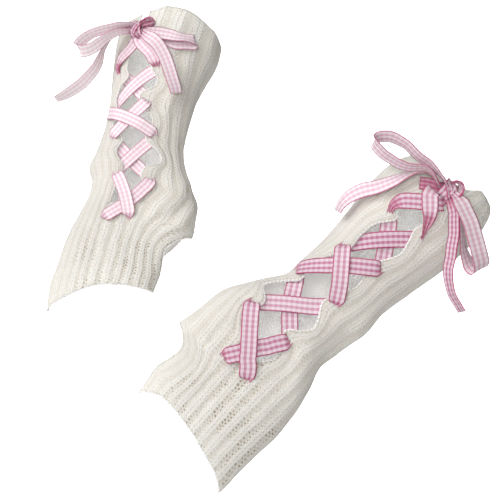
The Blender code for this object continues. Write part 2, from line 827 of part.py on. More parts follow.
def back_panel(arm):
    """Back of the hand and forearm, with the lace slit open from its bottom row to the cuff."""
    bottom = arm["bottom_row"]
    wall = Wall()
    outer, inner = strip_points(arm, SLIT_RIBS, middle_share, bottom)
    joints = ((0, "finger_edge"), (-1, "thumb_edge"))
    wall.strip("middle", outer, inner, joints, bottom)
    for edge in ("finger_edge", "thumb_edge"):
        outer, inner = strip_points(
            arm, SIDE_RIBS, lambda arm, along, rib, edge=edge: side_share(arm, along, rib, edge)
        )
        wall.strip(edge, outer, inner, ((0, edge),), bottom, ((0, bottom), (-1, 0)))
    return wall.finish()


def palm_panel(arm):
    wall = Wall()
    outer, inner = strip_points(arm, PALM_RIBS, palm_share)
    wall.strip("palm", outer, inner, closed=((0, 0), (-1, 0)))
    return wall.finish()


def ribbon_mesh(top, under):
    """A closed strip from the points of its two faces, in rows along it."""
    mesh = bmesh.new()
    grids = [[[mesh.verts.new(point) for point in row] for row in face] for face in (top, under)]
    for grid in grids:
        for low, high in zip(grid, grid[1:]):
            for col in range(len(low) - 1):
                mesh.faces.new((low[col], low[col + 1], high[col + 1], high[col]))
    over, below = grids
    for row in (0, -1):
        for col in range(len(over[row]) - 1):
            corners = (over[row][col], over[row][col + 1], below[row][col + 1], below[row][col])
            mesh.faces.new(corners)
    for col in (0, -1):
        for row in range(len(over) - 1):
            corners = (over[row][col], over[row + 1][col], below[row + 1][col], below[row][col])
            mesh.faces.new(corners)
    bmesh.ops.recalc_face_normals(mesh, faces=mesh.faces)
    return mesh


def band(arm, route, inside, rise, clear):
    """A stretch of ribbon on the wall through the places of its route, pinched at its ends.

    clear is its least distance from the wall, and rise its height over that at each distance.
    """
    along = np.array([place.along for place in route]) * MM
    share = share_at(arm, along, np.array([place.across for place in route]) * MM)
    size = quarter_length(arm, along).mean()
    around = share * size
    distance = np.concatenate([[0], np.cumsum(np.hypot(np.diff(along), np.diff(around)))])
    at = np.linspace(0, distance[-1], BAND_STEPS + 1)
    path = np.stack([rounded(distance, values, at) for values in (along, around)], axis=1)
    run = np.gradient(path, axis=0)
    run /= np.linalg.norm(run, axis=1, keepdims=True)
    half = np.full(len(at), RIBBON_WIDTH / 2)
    for from_end in (at, at[-1] - at):
        half *= PINCH + (1 - PINCH) * ease(from_end, 0, PINCH_LENGTH)
    sides = np.array([-1.0, 0.0, 1.0])[None, :] * half[:, None]
    along = path[:, :1] - run[:, 1:] * sides
    share = (path[:, 1:] + run[:, :1] * sides) / size
    height = clear + rise(at)[:, None]
    if inside:
        top, under = -height, -height - RIBBON_THICK
    else:
        top, under = WALL + height + RIBBON_THICK, WALL + height
    return ribbon_mesh(wall_point(arm, along, share, top), wall_point(arm, along, share, under))


def crossing_place(arm, route, other):
    """How far along a straight route the other one crosses it."""
    ends = []
    for place in (*route, *other):
        along = np.array([place.along * MM])
        share = share_at(arm, along, np.array([place.across * MM]))
        ends.append(Vector((along[0], float(share[0] * quarter_length(arm, along)[0]))))
    start, end, other_start, other_end = ends
    run, other_run, gap = end - start, other_end - other_start, other_start - start
    part = (gap.x * other_run.y - gap.y * other_run.x) / (run.x * other_run.y - run.y * other_run.x)
    return part * run.length


def flat_on_bed(at):
    return 0 * at


def hump(place):
    """The band that lies over another is humped where they cross."""
    return lambda at: RIBBON_RISE * (1 - ease(np.abs(at - place), HUMP_FLAT, HUMP_ENDS))


def climb(at):
    return RIBBON_RISE * ease(at, PINCH_LENGTH, 2 * PINCH_LENGTH)


def lace_bands(arm):
    """The bar in the bottom of the slit, four crossings, inside and outside, and the last two."""
    holes = {"thumb": arm["thumb_holes"], "finger": arm["finger_holes"]}
    other = {"thumb": "finger", "finger": "thumb"}
    bar = (holes["thumb"][0], holes["finger"][0])
    yield "lace_bar", band(arm, bar, True, flat_on_bed, CLEAR)
    crossings = len(holes["thumb"]) - 1
    for step in range(crossings):
        inside = step % 2 == 1
        in_front = arm["top_lace_starts"] if step % 2 == 0 else other[arm["top_lace_starts"]]
        routes = {
            side: (holes[side][step], holes[other[side]][step + 1]) for side in ("finger", "thumb")
        }
        for side, route in routes.items():
            rise = flat_on_bed
            if (side == in_front) != inside:
                rise = hump(crossing_place(arm, route, routes[other[side]]))
            clear = CLEAR_INSIDE if inside else CLEAR
            yield f"lace_{step + 1}_from_{side}", band(arm, route, inside, rise, clear)
    for side in ("finger", "thumb"):
        route = (holes[side][-1], *arm[f"{side}_route"])
        rise = climb if side == arm["top_lace_starts"] else flat_on_bed
        yield f"lace_{crossings + 1}_from_{side}", band(arm, route, False, rise, CLEAR)


def knot_centre(arm):
    along, across = arm["knot"].along * MM, arm["knot"].across * MM
    share = share_at(arm, np.array([along]), np.array([across]))
    height = WALL + CLEAR + KNOT_HALF.z
    return Vector(wall_point(arm, np.array([along]), share, height)[0])


def knot_frame(arm):
    """The knot lies on the wall: across, along and out there."""
    along, across = arm["knot"].along * MM, arm["knot"].across * MM
    share = share_at(arm, np.array([along]), np.array([across]))
    under, over = (Vector(wall_point(arm, along, share, out)[0]) for out in (0, 10 * MM))
    out = (over - under).normalized()
    up = (Vector((0, 0, 1)) - out * out.z).normalized()
    return Matrix((up.cross(out), up, out)).transposed().to_4x4()


def strand_mesh(strand, points, knot_half):
    """A free stretch of ribbon through the strand's points, which are measured from the knot.

    face is the direction of the ribbon's width as the onlooker sees it, in degrees from level,
    and tilt is how steeply that width rises towards the onlooker. It starts outside the knot.
    """
    places = np.array([(p.right, -p.near, p.up) for p in points]) * MM
    distance = np.concatenate([[0], np.cumsum(np.linalg.norm(np.diff(places, axis=0), axis=1))])

    def path_at(at):
        return np.stack([rounded(distance, places[:, axis], at) for axis in range(3)], axis=1)

    fine = np.linspace(0, distance[-1], 400)
    clear = fine[((path_at(fine) / knot_half) ** 2).sum(axis=1) > 1]
    at = np.linspace(clear[0], clear[-1], int(round((clear[-1] - clear[0]) / STRAND_STEP)) + 1)
    path = path_at(at)
    tangent = np.gradient(path, axis=0)
    tangent /= np.linalg.norm(tangent, axis=1, keepdims=True)
    face = np.radians(smooth(distance, [p.face for p in points], at))
    tilt = np.radians(smooth(distance, [p.tilt for p in points], at))
    across = np.stack(
        [np.cos(tilt) * np.cos(face), -np.sin(tilt), np.cos(tilt) * np.sin(face)], axis=1
    )
    across = across - (across * tangent).sum(axis=1, keepdims=True) * tangent
    across /= np.linalg.norm(across, axis=1, keepdims=True)
    offset = np.cross(tangent, across) * RIBBON_THICK / 2
    half = RIBBON_WIDTH / 2 * (PINCH + (1 - PINCH) * ease(at - at[0], 0, 2 * PINCH_LENGTH))
    if "loop" in strand:
        half *= PINCH + (1 - PINCH) * ease(at[-1] - at, 0, 2 * PINCH_LENGTH)
    sides = np.array([-1.0, 1.0])[None, :, None] * (across * half[:, None])[:, None, :]
    middle = path[:, None, :] + sides
    return ribbon_mesh(middle + offset[:, None, :], middle - offset[:, None, :])


def make_material(name, colour, roughness):
    material = bpy.data.materials.new(name)
    material.use_nodes = True
    shader = material.node_tree.nodes["Principled BSDF"]
    shader.inputs["Base Color"].default_value = colour
    shader.inputs["Roughness"].default_value = roughness
    shader.inputs["Metallic"].default_value = 0
    return material


def add_object(collection, name, mesh, parent, colour, roughness):
    data = bpy.data.meshes.new(name)
    mesh.to_mesh(data)
    mesh.free()
    data.materials.append(make_material(name, colour, roughness))
    made = bpy.data.objects.new(name, data)
    made.parent = parent
    collection.objects.link(made)
    return made


def add_empty(collection, name, placing):
    empty = bpy.data.objects.new(name, None)
    empty.matrix_world = placing
    empty.empty_display_size = 20 * MM
    collection.objects.link(empty)
    return empty


def knot_reach(arm):
    """Half the knot's size in the world, with a clear distance round it."""
    turn = arm_turn(arm) @ knot_frame(arm).to_3x3()
    return np.sqrt((np.array(turn) ** 2) @ np.array([(half + 1 * MM) ** 2 for half in KNOT_HALF]))


def add_knot(collection, arm, parent):
    """A rounded lump: a coarse cage, subdivided."""
    cage = bmesh.new()
    bmesh.ops.create_cube(cage, size=2)
    for vertex in cage.verts:
        vertex.co = Vector(a * b * 1.25 for a, b in zip(vertex.co, KNOT_HALF))
    made = add_object(collection, f"{arm['name']}_bow_knot", cage, parent, KNOT_COLOUR, 0.6)
    rounding = made.modifiers.new("rounding", "SUBSURF")
    rounding.levels = rounding.render_levels = 2
    made.location = knot_centre(arm)
    made.rotation_euler = knot_frame(arm).to_euler()


def arm_turn(arm):
    """The arm's own axes in the world: across, out and along."""
    rise, lean = np.radians(arm["rise"]), np.radians(arm["lean"])
    along = Vector((np.cos(lean) * np.cos(rise), np.sin(lean), np.cos(lean) * np.sin(rise)))
    out = Vector((np.sin(lean) * np.cos(rise), -np.cos(lean), np.sin(lean) * np.sin(rise)))
    return Matrix((out.cross(along), out, along)).transposed()


def arm_placing(arm):
    middle = section_at(LEFT, np.array([HOLD_ALONG]))[0][0]
    held = Vector((LEFT["side"] * middle, 0, HOLD_ALONG))
    hem = -(arm_turn(LEFT) @ held)
    if arm is RIGHT:
        hem = hem + PAIR_STEP
    return Matrix.Translation(hem) @ arm_turn(arm).to_4x4()


def make_warmer(collection, arm):
    name = arm["name"]
    placing = arm_placing(arm)
    frame = add_empty(collection, f"{name}_frame", placing)
    for piece, mesh in (("back_panel", back_panel(arm)), ("palm_panel", palm_panel(arm))):
        add_object(collection, f"{name}_{piece}", mesh, frame, KNIT_COLOUR, 0.95)
    for piece, mesh in lace_bands(arm):
        add_object(collection, f"{name}_{piece}", mesh, frame, RIBBON_COLOUR, 0.6)
    add_knot(collection, arm, frame)
    knot_place = Matrix.Translation(placing @ knot_centre(arm))
    bow = add_empty(collection, f"{name}_bow_frame", knot_place)
    knot_half = knot_reach(arm)
    for strand, points in arm["strands"].items():
        mesh = strand_mesh(strand, points, knot_half)
        add_object(collection, f"{name}_{strand}", mesh, bow, RIBBON_COLOUR, 0.6)


def main():
    for old in list(bpy.data.objects):
        bpy.data.objects.remove(old, do_unlink=True)
    collection = bpy.data.collections.new(NAME)
    bpy.context.scene.collection.children.link(collection)
    for arm in (LEFT, RIGHT):
        make_warmer(collection, arm)


main()
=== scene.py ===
import bmesh
import bpy
import numpy as np
from mathutils import Matrix, Vector


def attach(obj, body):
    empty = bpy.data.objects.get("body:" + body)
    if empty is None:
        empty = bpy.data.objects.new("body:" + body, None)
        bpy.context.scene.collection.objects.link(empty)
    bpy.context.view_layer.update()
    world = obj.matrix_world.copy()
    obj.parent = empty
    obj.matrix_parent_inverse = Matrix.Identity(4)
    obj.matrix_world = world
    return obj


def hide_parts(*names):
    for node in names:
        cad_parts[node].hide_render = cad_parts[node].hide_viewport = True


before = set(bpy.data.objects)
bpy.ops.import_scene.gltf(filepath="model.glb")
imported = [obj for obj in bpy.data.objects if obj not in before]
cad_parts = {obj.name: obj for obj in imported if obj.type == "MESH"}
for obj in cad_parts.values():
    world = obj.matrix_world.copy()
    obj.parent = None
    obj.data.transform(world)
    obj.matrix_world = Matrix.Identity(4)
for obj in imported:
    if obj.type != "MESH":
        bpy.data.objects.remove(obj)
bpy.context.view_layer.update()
mm = 0.001
print("frame loaded")

# metres, but for the lens and the sensor
cameraView = {"place": (-0.1031, -1.2654, -0.0032), "lens": 120, "sensor": 36, "near": 0.05, "far": 60}


def addCamera(view):
    lens = bpy.data.cameras.new("studioCamera")
    lens.lens, lens.sensor_width = view["lens"], view["sensor"]
    lens.clip_start, lens.clip_end = view["near"], view["far"]
    camera = bpy.data.objects.new("studioCamera", lens)
    camera.location = view["place"]
    camera.rotation_euler = (np.pi / 2, 0, 0)  # level, looking along +Y
    bpy.context.scene.collection.objects.link(camera)
    bpy.context.scene.camera = camera


addCamera(cameraView)

leftArm = {
    "name": "left", "side": 1, "rise": 38.5, "lean": 13.0,
    # along, reach to the thumb side, to the little-finger side, depth at the back, at the palm
    "sections": [
        (-10, 47, 48.5, 16, 16), (0, 49, 48, 16, 16), (20, 55, 45.5, 16.5, 17), (40, 63, 44, 17.5, 19),
        (55, 68.5, 43.3, 19, 22), (75, 68.5, 39, 21, 24), (95, 67, 33, 23, 25),
        (110, 62, 27.5, 25, 26), (122, 57, 25, 26, 26.5), (143, 48, 25, 27, 27),
        (157, 49, 26.5, 28, 28), (177, 50, 23.5, 30, 30), (205, 55, 24.5, 33, 33),
        (237, 62, 26.5, 36, 36), (257, 63.5, 26, 37, 37), (281, 57, 22, 34, 35), (300, 52, 14, 31, 32),
    ],
    # the two edges of the lace slit: along, across
    "thumbEdge": [
        (-10, 14), (45, 23), (79, 28.5), (86, 38.5), (89, 42.5), (95, 46), (101, 44), (107, 41.5),
        (111.5, 43), (115, 48), (118.5, 51), (124, 49), (130, 45.5), (136, 41.5), (142, 37.5),
        (149, 38), (158, 41), (163, 40.5), (168, 38.5), (179, 35.5), (185, 33), (198, 35.5), (208, 36),
        (213, 34.5), (222, 29.5), (225, 28.5), (230, 34.5), (234, 35.5), (240, 35), (250, 30),
        (258, 27.5), (268, 25), (300, 27),
    ],
    "fingerEdge": [
        (-10, -6), (45, 3), (79, 8), (84, 6), (89, 4), (92.5, 4.5), (99, 7), (103, 11.5), (107.5, 15),
        (112, 12.5), (116, 8), (120, 5.5), (125, 3), (129, 4.5), (133, 6.5), (136.5, 9.5),
        (142.5, 13.5), (146, 14), (151, 12), (156, 10), (163, 8.5), (170, 7), (181, 10), (187, 12.5),
        (191, 13), (196, 10.5), (206, 6.5), (210.5, 5.5), (220.5, 8.5), (226, 11), (231, 13),
        (236, 12), (245, 9.5), (250, 11), (259, 18), (268, 18.5), (300, 12),
    ],
    # knitted rows: row, along; then where hem, slit bottom and cuff lie all round
    "rows": [
        (0, 6), (2, 19), (7, 55), (10, 78), (31, 281),
    ],
    "openingRow": 7, "bottomRow": 10,
    "lines": [
        (-2, 19.5, 78, 285), (-1.5, 16, 78, 286), (-1.25, 11, 78, 286), (-1, -1, 78, 287),
        (-0.6, 5, 79, 292), (-0.3, 7, 80, 291), (-0.1, 9, 78.5, 281), (0.05, 9.5, 76.5, 276),
        (0.3, 10, 81, 270), (0.6, 9, 79, 274), (1, -0.5, 78, 281), (1.25, 14, 78, 283),
        (1.5, 18.5, 78, 284), (2, 19.5, 78, 285),
    ],
    # along, how far each lip of the thumb opening stands back: back of the hand, palm
    "thumbOpening": [
        (16, 0, 0), (26, 7, 9), (34, 12, 15), (42, 15, 20), (48, 13, 20), (52, 8, 17), (55, 0, 13),
        (65, 0, 0),
    ],
    "thumbHoles": [
        (60, 29.5), (104, 47), (145, 43), (184.5, 37), (223.5, 34),
    ],
    "fingerHoles": [
        (63, 4.5), (106.5, 7.5), (148, 7), (193, 6), (229, 5),
    ],
    "knot": (266.5, 21.3),
    "thumbRoute": [
        (229, 36), (235.5, 35), (243, 29.5), (250.5, 22.5), (259, 16),
    ],
    "fingerRoute": [
        (237, 10), (244.5, 15), (251, 22), (255.5, 26.5), (258.8, 27),
    ],
    "topLaceStarts": "finger",
    # along, share, length, width, height, slant
    "folds": [
        (100, -0.55, 60, 9, 2.2, 30), (128, -0.75, 46, 7, -2, 24), (150, -0.7, 60, 8, 2, 12),
        (66, 0.75, 50, 9, 2, -28), (110, 1.25, 60, 10, 2.2, 20), (190, -1.1, 70, 9, -1.8, -8),
        (236, 0.72, 60, 8, 1.8, 6), (250, -0.55, 46, 6, 1.8, -20), (60, 1.7, 70, 10, 1.8, 10),
        (205, 1.6, 80, 11, -1.8, -12),
    ],
    "ribSway": (70, 90, 3),
    # free ribbon, measured from the knot: right, up, near, face, tilt
    "strands": {
        "ear": [(1, 2, 3, 60, 40), (4.5, 5.5, 5.5, 30, 60), (8.5, 4.5, 6, 20, 70), (10, 0, 6, 15, 70),
            (8, -5, 5.5, 10, 60), (4, -6.5, 4, 10, 40)],
        "loopUp": [
            (-2.5, 5, 6, 50, 82), (-9, 12.5, 9.5, 45, 76), (-16.5, 19.5, 10, 45, 64),
            (-22, 23, 11, 45, 63), (-26.5, 27, 11.5, 46, 62), (-31, 31.5, 12, 50, 60),
            (-36.5, 35, 12, 60, 56), (-43, 38, 12, 78, 50), (-47.5, 38.5, 11.5, 88, 49),
            (-52, 38, 10.5, 90, 50), (-55.5, 36, 9.5, 84, 52), (-55, 33, 8.5, 70, 54),
            (-52, 29.5, 8, 52, 55), (-48, 25.5, 7.5, 48, 55), (-42.5, 22, 7, 54, 57),
            (-36.5, 18.5, 7, 60, 60), (-30.5, 16.5, 7, 72, 63), (-26.5, 16, 7, 86, 66),
            (-21.5, 16, 8, 90, 70), (-16.5, 15, 8.5, 70, 76), (-12, 11.5, 7.5, 50, 84),
            (-8.5, 6.5, 5, 46, 84), (-5.5, 2.5, 2.5, 46, 82),
        ],
        "loopDown": [
            (2, -2, 3.5, 28, -20), (5.5, -5.5, 6.5, 28, -22), (9, -11, 10.5, 24, -26),
            (12, -17.5, 11.5, 20, -27), (15.5, -25.5, 13, 18, -27), (17.5, -33, 14, 16, -26),
            (20, -42, 14, 17, -25), (22, -49.5, 13.5, 19, -25), (23.5, -55.5, 11.5, 23, -25),
            (23, -59.5, 8, 27, -27), (20, -60.5, 4, 28, -35), (16.5, -57.5, 1.5, 28, -42),
            (14, -51.5, 0.5, 25, -50), (12, -44.5, 0, 20, -60), (11, -36.5, 0, 16, -68),
            (10, -26.5, 0.5, 14, -74), (9, -18, 1, 14, -76), (7, -10, 1, 16, -76),
            (4.5, -5.5, 1, 16, -78),
        ],
        "tailSide": [
            (-6.5, 1, -0.5, 50, -84), (-9.5, 6.5, -0.5, 50, -86), (-12.5, 11, -2, 56, -86),
            (-17, 13.5, -3, 80, -82), (-22, 14, -3, 95, -76), (-28, 12, -3, 105, -72),
            (-33, 10, -3, 112, -64), (-39, 7, -3, 112, -52), (-46.5, 4, -4, 106, -42),
            (-54, 1.5, -5, 102, -34), (-61.5, 0, -6, 105, -30), (-69, -3, -7, 113, -36),
            (-75, -7, -8, 124, -48), (-79, -11.5, -9, 132, -58), (-81.5, -16.5, -9.5, 138, -66),
        ],
        "tailDown": [
            (1, -6.5, 3, 10, 30), (2.5, -10.5, 3.5, 8, 40), (4, -17, 5, 4, 56),
            (4, -24.5, 5.5, -2, 54), (4, -33.5, 5.5, -6, 54), (2.5, -42.5, 5.5, -8, 53),
            (1.5, -51, 5, -8, 54), (0, -58.5, 4.5, -5, 57), (0, -65.5, 4, 6, 60),
            (1, -71.5, 3.5, 14, 64), (3, -78.5, 3, 22, 66), (6.5, -84.5, 2.5, 28, 67),
            (10.5, -91, 2, 32, 68),
        ],
    },
    # smaller creases of the same kind, most of them on the palm side
    "softFolds": [
        (40, 1.9, 50, 6, 1.2, 8), (95, 1.35, 60, 6, -1.3, -14), (140, 1.95, 70, 7, 1.3, 10),
        (165, 1.25, 60, 6, 1.2, -8), (235, 1.35, 70, 7, -1.3, 6), (255, 1.95, 50, 6, 1.1, -10),
        (120, -1.5, 60, 6, -1.2, 12), (45, -1.4, 50, 6, 1.1, -10), (215, -1.45, 70, 6, 1.2, 6),
        (120, -0.98, 60, 4, -0.9, 4), (176, -0.86, 80, 4, 0.9, -2),
    ],
    # ribs between which the relief dies away, how far up the openwork is full, the lace's width as a share
    "plainFrom": (3.3, 5.5), "openworkEnd": 75, "laceWide": 1.08,
    # each band's width left at its top hole, and over what length
    "topPinch": {"finger": (0.15, 26), "thumb": (0.35, 15)},
    # painted light and shade on each stretch, from the bar up; 0 is the pale lit copy, 1 the full shaded
    # copy
    "tones": {"finger": (1.0, 0.85, 0.75, 0.85, 1.0, 0.7), "thumb": (1.0, 0.95, 0.8, 0.95, 0.8, 0.95)},
    # tone, painted light and shade, and width of each free strand
    "strandShadeTones": {
        "loopUp": (0.5, 1.0), "loopDown": (0.5, 1.2), "tailSide": (0.45, 1.08), "tailDown": (1.0, 1.0),
    },
    # folds drawn in under the knot: along, across; then tone, past full: painted shade
    "underFolds": [
        (((255.5, 37), (260.5, 31.5), (264, 25.5), (266.5, 21.3)), 1.25),
        (((253, 20), (259, 19), (265, 19)), 1.3),
    ],
    # ribbon wrapped round the knot: angle, shift (right, away, up), size
    "knotWraps": [(48, (0, 0, 0), 1.0), (100, (1.0, -0.8, -0.5), 0.86)],
}

rightArm = {
    "name": "right", "side": -1, "rise": 75.5, "lean": 23.5,
    # along, reach to the thumb side, to the little-finger side, depth at the back, at the palm
    "sections": [
        (-30, 38, 40, 16, 16), (-15, 39.5, 43, 16, 16), (5, 40.5, 45.5, 16.5, 16.5),
        (23, 40.5, 44.5, 17, 17.5), (38, 43, 44.3, 17.5, 19), (52, 49, 43, 18.5, 21),
        (62, 54.5, 41, 19.5, 22.5), (70, 58.5, 39.5, 20.5, 23.5), (78, 60, 38, 21, 24.5),
        (91, 58, 36.2, 22.5, 25), (103, 55, 37.3, 24, 26), (116, 48, 41.5, 25.5, 26.5),
        (126, 41.5, 41.3, 26, 27), (139, 35.3, 40.6, 26.5, 27), (151, 32.3, 40.1, 27.5, 27.5),
        (176, 31.4, 42, 30, 30), (199, 31.8, 46, 33, 33), (219, 35, 49.5, 36, 35),
        (244, 40.6, 52.5, 37.5, 37), (258, 40, 49, 37, 37), (285, 38, 44, 35, 35),
    ],
    # the two edges of the lace slit: along, across
    "thumbEdge": [
        (-25, 4), (40, 3.5), (87, 3.5), (91, 7.5), (95, 11), (98, 13), (101.5, 14.5), (104.5, 12),
        (107, 6.5), (109.5, 4.5), (115.5, 5), (118.3, 7), (122, 12.5), (126, 17.5), (129.5, 17),
        (134, 13.5), (137, 9.5), (139.5, 4), (142, 1), (145.5, -1), (150, 0), (155, 2), (161, 1),
        (165, -1.5), (168.5, -6), (171, -10), (175, -13.5), (180, -15), (184, -14), (187, -9),
        (190.5, -5.5), (194.5, -4), (198, -4), (201, -6.5), (204, -10.5), (208, -12.5), (212, -14.5),
        (217, -19), (220.5, -25), (224, -28.5), (238, -29), (248, -28), (285, -25),
    ],
    "fingerEdge": [
        (-25, -14), (40, -17), (79, -16.5), (88, -15.5), (94, -15.5), (101, -14), (107, -12.5),
        (112, -13.5), (116.5, -14.5), (118.5, -17), (121, -19.5), (124.5, -21.5), (128, -22.5),
        (134, -21), (137, -20), (141, -22), (145.5, -24), (149, -29.5), (152, -31.5), (157, -32.5),
        (169.5, -33), (177, -35.5), (187, -35), (192, -33), (197, -30.5), (203, -33), (206.5, -34),
        (215, -34.5), (224, -32.8), (238, -33), (248, -34), (285, -36),
    ],
    # knitted rows: row, along; then where hem, slit bottom and cuff lie all round
    "rows": [
        (0, 8), (3, 30), (9, 76.5), (10, 84), (31, 262),
    ],
    "openingRow": 9, "bottomRow": 10,
    "lines": [
        (-2, 29, 83, 262), (-1.7, 22, 81, 258), (-1.5, 12, 80, 254), (-1.3, 3, 79, 251),
        (-1.15, -7, 78.5, 249), (-1, -19, 78, 249), (-0.7, -12, 78, 253), (-0.5, -5, 79, 257),
        (-0.35, 0, 81, 262), (-0.15, 6.5, 87, 268), (0.1, 11, 88, 268.5), (0.4, 14, 86, 264),
        (0.7, 16, 85, 259), (1, 19.5, 85, 257.5), (1.1, 26, 85, 258), (1.25, 30, 85, 259),
        (1.5, 31.5, 85, 260), (2, 29, 83, 262),
    ],
    # along, how far each lip of the thumb opening stands back: back of the hand, palm
    "thumbOpening": [
        (29, 0, 0), (41, 7, 9), (48, 12, 15), (56, 16, 22), (63, 15, 24), (71, 9, 22), (76.5, 0, 19),
        (92, 0, 0),
    ],
    "thumbHoles": [
        (70.5, 3.5), (109.5, 13.5), (148, 6.5), (177, -7), (207.5, -8),
    ],
    "fingerHoles": [
        (65, -17), (108.5, -17.5), (138, -28), (165, -37), (200, -38),
    ],
    "knot": (237.6, -30.4),
    "thumbRoute": [
        (217, -15.5), (223, -22.5), (228, -27), (233, -29), (237, -30.4),
    ],
    "fingerRoute": [
        (207.5, -39), (213.5, -38), (218, -35), (223.5, -32), (228.5, -31), (233.5, -30.8),
    ],
    "topLaceStarts": "thumb",
    # along, share, length, width, height, slant
    "folds": [
        (96, 0.45, 56, 6, 2.6, 38), (86, 0.72, 52, 6, 2.4, 34), (106, 0.2, 44, 5, -2, 34),
        (150, 0.75, 80, 8, 2, -4), (200, 0.35, 70, 7, 2.2, 4), (235, 0.1, 50, 6, 1.8, 2),
        (238, 0.62, 54, 7, 2, -3), (118, -0.8, 36, 7, 2, 70), (70, 1.5, 70, 10, 1.8, 12),
        (200, 1.7, 80, 11, -1.8, -10),
    ],
    "ribSway": (52, 80, 5),
    # free ribbon, measured from the knot: right, up, near, face, tilt
    "strands": {
        "ear": [(2, 3, 3, 80, 30), (7, 6.5, 5, 90, 40), (13, 7, 6, 95, 60), (16, 5, 6, 90, 80),
            (13, 3.5, 6, 85, 60), (6, 2, 4, 80, 40)],
        "loopSide": [
            (-4, 3.5, 3, 98, 60), (-10.5, 2.5, 7, 98, 60), (-18, 0.5, 10, 100, 58),
            (-25.5, -1.5, 12, 102, 57), (-32.5, -3.5, 13, 105, 56), (-38.5, -6, 13.5, 112, 54),
            (-44, -9.5, 13.5, 122, 50), (-48.5, -13.5, 12.5, 126, 46), (-50, -17.5, 11, 118, 40),
            (-48, -20, 10, 105, 34), (-43.5, -19.5, 9.5, 98, 34), (-37.5, -17, 9, 104, 38),
            (-32, -13, 9, 120, 46), (-27.5, -9.5, 9, 132, 56), (-23, -6.5, 8.5, 126, 62),
            (-18.5, -4, 7.5, 112, 64), (-12.5, -2, 5.5, 104, 64), (-5.5, 0, 2, 100, 60),
        ],
        "loopFlat": [
            (6, -0.5, 3.5, 85, -20), (12.5, -2.5, 6, 80, -20), (20, -4, 6.5, 80, -22),
            (28, -5.5, 7, 80, -30), (35, -7.5, 9, 84, -42), (41.5, -8.5, 9, 94, -52),
            (47.5, -9.5, 8, 104, -40), (51, -11, 6, 111, -12), (49, -12.5, 4, 110, -8),
            (42.5, -12.5, 4, 106, -14), (34, -12.5, 5, 96, -20), (25.5, -9.5, 3, 88, -22),
            (16.5, -7, 1.5, 86, -22), (8.5, -4.5, -0.5, 86, -20),
        ],
        "tailSide": [
            (-4.5, -2, -1.5, 70, -66), (-9, -2.5, -2.5, 75, -68), (-14, -3, -3, 75, -70),
            (-19.5, -4.5, -3.5, 70, -76), (-23, -7, -4, 55, -80), (-26, -11, -4, 30, -82),
            (-29, -16, -4, 8, -80), (-31.5, -21, -4, -12, -70), (-33.5, -27, -4, -28, -58),
            (-36.5, -33, -4, -38, -50), (-41.5, -39, -4.5, -46, -44), (-47, -45, -5, -50, -40),
            (-53.5, -50, -5.5, -52, -42), (-60, -54, -6.5, -54, -50), (-66.5, -57.5, -7.5, -56, -60),
            (-71.5, -59.5, -8, -58, -68),
        ],
        "tailDown": [
            (5, -3.5, 5, 60, -20), (9, -6.5, 8.5, 52, -18), (13.5, -9.5, 11.5, 44, -14),
            (18, -14, 13, 36, -12), (21.5, -19.5, 13, 30, -12), (25, -26.5, 13, 24, -14),
            (28, -35, 14, 20, -18), (31, -44.5, 15.5, 18, -24), (33.5, -52, 17, 14, -30),
            (34.5, -57, 17.5, 12, -34),
        ],
    },
    # smaller creases of the same kind, most of them on the palm side
    "softFolds": [
        (35, 1.85, 46, 6, 1.1, -8), (84, 1.3, 56, 6, -1.2, 12), (130, 1.9, 70, 7, 1.3, -8),
        (150, 1.3, 60, 6, 1.2, 8), (225, 1.3, 70, 7, -1.2, -6), (245, 1.9, 50, 6, 1.1, 10),
        (108, -1.5, 56, 6, -1.2, -12), (42, -1.4, 46, 6, 1.1, 8), (190, -1.4, 70, 6, 1.2, -6),
        (170, 0.98, 70, 4, -0.8, 2),
    ],
    "plainFrom": (0.5, 3.5), "openworkEnd": 38, "laceWide": 0.94,
    "topPinch": {"finger": (0.3, 15), "thumb": (0.5, 8)},
    # painted light and shade on each stretch, from the bar up; 0 is the pale lit copy, 1 the full shaded
    # copy
    "tones": {"finger": (0.6, 0.4, 0.35, 0.25, 0.25, 0.4), "thumb": (0.6, 0.3, 0.35, 0.3, 0.35, 0.4)},
    # tone, painted light and shade, and width of each free strand
    "strandShadeTones": {
        "loopSide": (0.0, 1.0), "loopFlat": (0.35, 1.0), "tailSide": (0.0, 1.0), "tailDown": (0.35, 1.0),
    },
    # folds drawn in under the knot: along, across; then tone, past full: painted shade
    "underFolds": [(((231, -34), (234, -31.5), (237.6, -30.4)), 1.25)],
    "knotWraps": [(100, (0, 0, 0), 1.0), (60, (-1.0, -0.8, 0.5), 0.86), (140, (-0.5, -0.5, -2.5), 0.8)],
}

cloth = {
    "furrowWall": 1.3, "ribHeight": 1.4, "slitRibs": 2, "sideRibs": 5, "palmRibs": 10,
    # sections: how square, where the hand's give way to the forearm's, points in a quarter
    "handSquare": 2.6, "forearmSquare": 2.1, "handEnds": 60, "forearmStarts": 150, "quarterSteps": 32,
    "widest": 0.985,  # how near to the outline an edge may come, as a share of the half width
    "scallopReach": 22, "scallopSamples": 9,  # over what length the slit's scallops even out
    "seamDrift": 0.08, "lipStarts": 0.4,  # from this gap on, the thumb opening is cut
    "blendRows": 6, "cuffRows": 0.2,  # over how many rows the slit's foot and the cuff bend the others
    # ribs where the plain stretch ends, how much relief and openwork are lost, over what length
    "plainEnds": (8.5, 11), "plainLoss": 0.8, "openworkLoss": 0.8, "openworkFades": 55,
}
wallThick = (cloth["furrowWall"] + cloth["ribHeight"]) * mm
# where the first forearm is held, and how far off the second warmer's hem lies
placing = {"holdAlong": 215, "pairStep": (-72, 161, 97.5)}


def hermite(xs, ys, tangents, at):
    at = np.clip(at, xs[0], xs[-1])
    i = np.clip(np.searchsorted(xs, at) - 1, 0, len(xs) - 2)
    gap = xs[i + 1] - xs[i]
    t = (at - xs[i]) / gap
    start = (1 + 2 * t) * (1 - t) ** 2 * ys[i] + t * (1 - t) ** 2 * gap * tangents[i]
    return start + t * t * (3 - 2 * t) * ys[i + 1] + t * t * (t - 1) * gap * tangents[i + 1]


